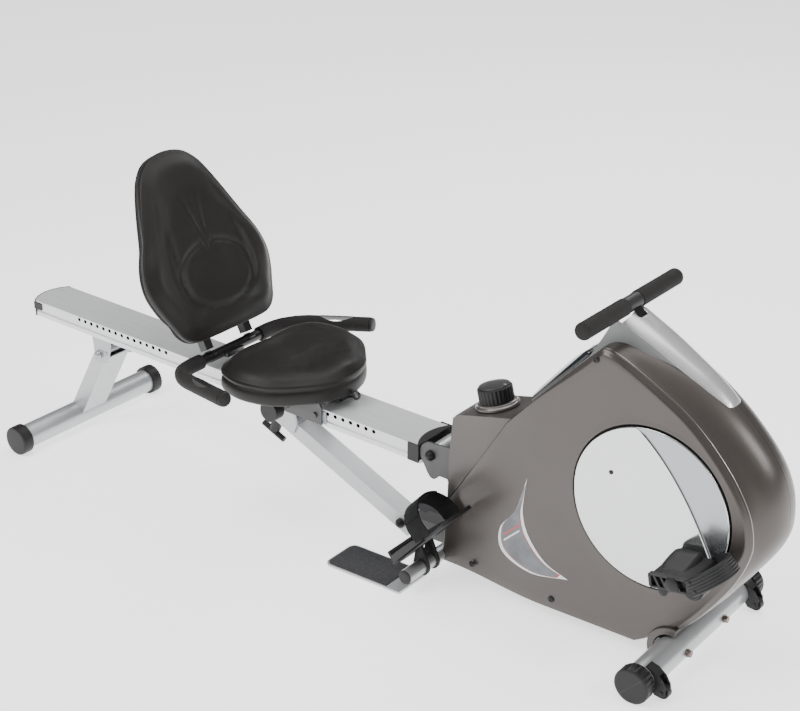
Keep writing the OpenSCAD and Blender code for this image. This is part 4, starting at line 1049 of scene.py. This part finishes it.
for s, side in SIDE_NAME.items():
    m = pedal(s)
    put("pedal_body_" + side, pedal_parts(m), BLACK_PLASTIC, "pedal_" + side, angle=38,
        slot="pedal_plastic", replaces=("pedal_" + side,))
    loop = m @ Matrix.Translation((46, -146, 6)) @ Matrix.Rotation(60 * RAD, 4, "Y")
    path = [Vector((0, 48.3 * math.cos(a * RAD), 1.31 * 50.2 * math.sin(a * RAD) - 6))
            for a in range(0, 181, 5)]
    path = [path[0] + Vector((0, 0, -4))] + path + [path[-1] + Vector((0, 0, -4))]
    v, f = sweep(path, strap_band(34, 3.6, 6, 1.1), up=(1, 0, 0))
    rivet = lathe([(3.4, 0), (3.4, 1.2), (2.4, 2.2), (0.3, 2.4)], 14)
    rivets = [(*rivet, loop @ Matrix.Translation((w, e * 51.2, -2)) @ FLIP[-e]) for w in (-9, 9)
              for e in (1, -1)]
    put("pedal_band_" + side, [(v, f, loop)] + rivets, RUBBER, "pedal_" + side, angle=40,
        slot="strap_rubber", replaces=("pedal_strap_" + side,))

# ---------------------------------------------------------------- foot pads and their straps

LOOP_Z = 19
HEEL_LINE = closed_spline([(-10, 34), (-10, 52), (-8.6, 63), (-5, 65), (-2.6, 62), (-2, 50), (-2, 34)], 3)
WALL_LINE = closed_spline([(-10, 34), (-10, 44), (-6, 52), (10, 54), (60, 52), (96, 48), (109, 40),
                           (108, 34), (50, 33)], 3)

for s, side in SIDE_NAME.items():
    m = foot(s)
    body = "foot_pad_" + side
    sole = [(88.5 + a, -125 + b) for a, b in rounded_box(197, 98, 16, 5)]
    parts = [(*soft_slab(sole, 33, 40.2, 2.2), m)]
    for x in range(24, 181, 13):
        parts.append((*box((x, -166, 40), (x + 6, -84, 41.4), 0.6), m))
    parts.append((*slab_y(HEEL_LINE, -172, -78, 1.8), m))
    for y in (-174, -82):
        parts.append((*slab_y(WALL_LINE, y, y + 6, 1.5), m))
    for y in (-126, -92):
        hang = [(30, 39), (18, 36)] + arc(0, 0, 21, 130, 330, 12) + [(36, 28), (38, 33)]
        parts.append((*slab_y(hang, y, y + 8, 1.5), m))
    put("foot_sole_" + side, parts, BLACK_PLASTIC, body, angle=38, slot="black_plastic", replaces=(body,))
    line = [(52.6, 0), (52.6, 8)] + arc(0, LOOP_Z, 52.6, 0, 180, 30) + [(-52.6, 8), (-52.6, 0)]
    path = [Vector((0, y, z)) for y, z in line]
    m2 = m @ Matrix.Translation((113, -125, 41))
    v, f = sweep(path, rounded_box(2.4, 52, 1.1, 3), up=(1, 0, 0))
    # the free end of the hook-and-loop band lies over the first turn
    lap = []
    for a in [k * RAD for k in range(52, 160, 6)]:
        y = (55.2 + 1.2 * math.sin(2 * a)) * math.cos(a)
        lap.append(Vector((0.6, y, LOOP_Z + (55.2 + 0.6 * math.sin(3 * a)) * math.sin(a))))
    v2, f2 = sweep(lap, rounded_box(2.2, 50, 1.0, 3), up=(1, 0, 0))
    cloth = put("foot_band_" + side, [(v, f, m2)], WEBBING, body, angle=40, slot="webbing",
                replaces=("foot_strap_" + side,))
    lapped = put("foot_lap_" + side, [(v2, f2, m2)], WEBBING, body, angle=40, slot="webbing")

# ---------------------------------------------------------------- steps, caps and housing details

heads = [(*lathe([(7.0, 0), (7.0, -1.2), (5.6, -2.6), (3.2, -3.1), (2.6, -2.0), (0.3, -1.9)], 24),
          at(x, z) @ Matrix.Translation((0, -y, 0)))
         for x, z, y in ((1582, 604, 86.0), (1281, 52, 71.2), (1489, 50, 86.0))]
put("screw_heads", [(v, f, FLIP[s] @ m) for s in SIDES for v, f, m in heads], BLACK_PLASTIC, "base",
    slot="black_plastic")
grip_line = [(1140, 94), (1140, 185)] + arc(988, 171, 14, 90, 180, 6) + arc(988, 108, 14, 180, 270, 6)
v, f = soft_slab(grip_line, 4.6, 6.2, 0.5)
put("step_grips", both_sides((v, f)), GRIP_SHEET, "base", slot="wheel_rubber")

cap = [(29.5, 206), (35.6, 206), (36.6, 207), (37, 209), (37, 231), (36.4, 233.4), (34.6, 234.8),
       (30, 235), (0.5, 235)]
front_cap = lathe(cap, 216, ribs=24, rib=2.2, rib_span=(206.5, 228))
rear_cap = lathe(cap, 96)


def on_floor(part, z):
    v, f = part
    return [(x, y, max(q, -z)) for x, y, q in v], f


plug = lathe([(13.5, 160), (15.9, 178.8), (16, 180.4), (15, 181.3), (10, 181.9), (0.4, 182)], 48)
parts = both_sides(on_floor(front_cap, 36), at(1764, 36)) + both_sides(plug, at(1187, 40))
put("base_caps", parts, BLACK_PLASTIC, "base", angle=38, slot="black_plastic", replaces=("base_end_caps",))
put("rear_caps", both_sides(on_floor(rear_cap, 36), at(0, 36)), BLACK_PLASTIC, "rear_leg", angle=38,
    slot="black_plastic", replaces=("rear_end_caps",))

# the housing's arch over the front stabilizer, thicker towards both ends
secs = []
for y in (-91, -90, -87, -80, -60, 0, 60, 80, 87, 90, 91):
    r_out = 47 + 4.0 * smooth01((abs(y) - 66) / 18) - 1.6 * smooth01((abs(y) - 89) / 2)
    ring = [(r_out * math.cos(a * RAD), y, r_out * math.sin(a * RAD)) for a in range(76, 215, 6)]
    ring += [(36.4 * math.cos(a * RAD), y, 36.4 * math.sin(a * RAD)) for a in range(214, 75, -6)]
    secs.append(ring)
v, f = rings(secs)
put("stabilizer_arch", [(v, f, at(1764, 36))], HOUSING, "base", angle=35, slot="housing_plastic")

# badge without lettering
left_line = spline([(1429, 308, 0), (1400, 227, 0), (1356, 166, 0), (1363, 114, 0), (1437, 93, 0),
                    (1528, 109, 0)], 9)
right_line = spline([(1429, 308, 0), (1421, 262, 0), (1418, 222, 0), (1432, 178, 0), (1473, 131, 0),
                     (1528, 109, 0)], 9)


def badge(lift, t0, t1, c0, c1):
    """Part of the badge, lifted off the panel: t runs down the badge and c across it."""
    secs = []
    n = len(left_line) - 1
    for i in range(41):
        t = (t0 + (t1 - t0) * i / 40) * n
        k = min(n - 1, int(t))
        a, b = left_line[k].lerp(left_line[k + 1], t - k), right_line[k].lerp(right_line[k + 1], t - k)
        row = [a.lerp(b, c0 + (c1 - c0) * j / 8) for j in range(9)]
        secs.append([(q.x, -(panel_depth(q.x) + lift), q.y) for q in row])
    return rings(secs, closed=False, caps=(False, False))


BADGE = {"badge_edge": ((0.35, 0, 1, 0, 1), DECAL_EDGE),
         "badge_line": ((0.5, 0.06, 0.94, 0.10, 0.90), DECAL_RED),
         "badge_field": ((0.65, 0.075, 0.925, 0.125, 0.875), DECAL_GREY),
         "badge_bar": ((0.8, 0.47, 0.49, 0.2, 0.8), DECAL_RED),
         "badge_bar_low": ((0.8, 0.52, 0.535, 0.2, 0.8), DECAL_EDGE)}
for name, (spec, mat) in BADGE.items():
    put(name, both_sides(badge(*spec)), mat, "base", slot="housing_plastic")

# the strap reaches from the guide bar inside the fin to the rowing handle
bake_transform(strap)
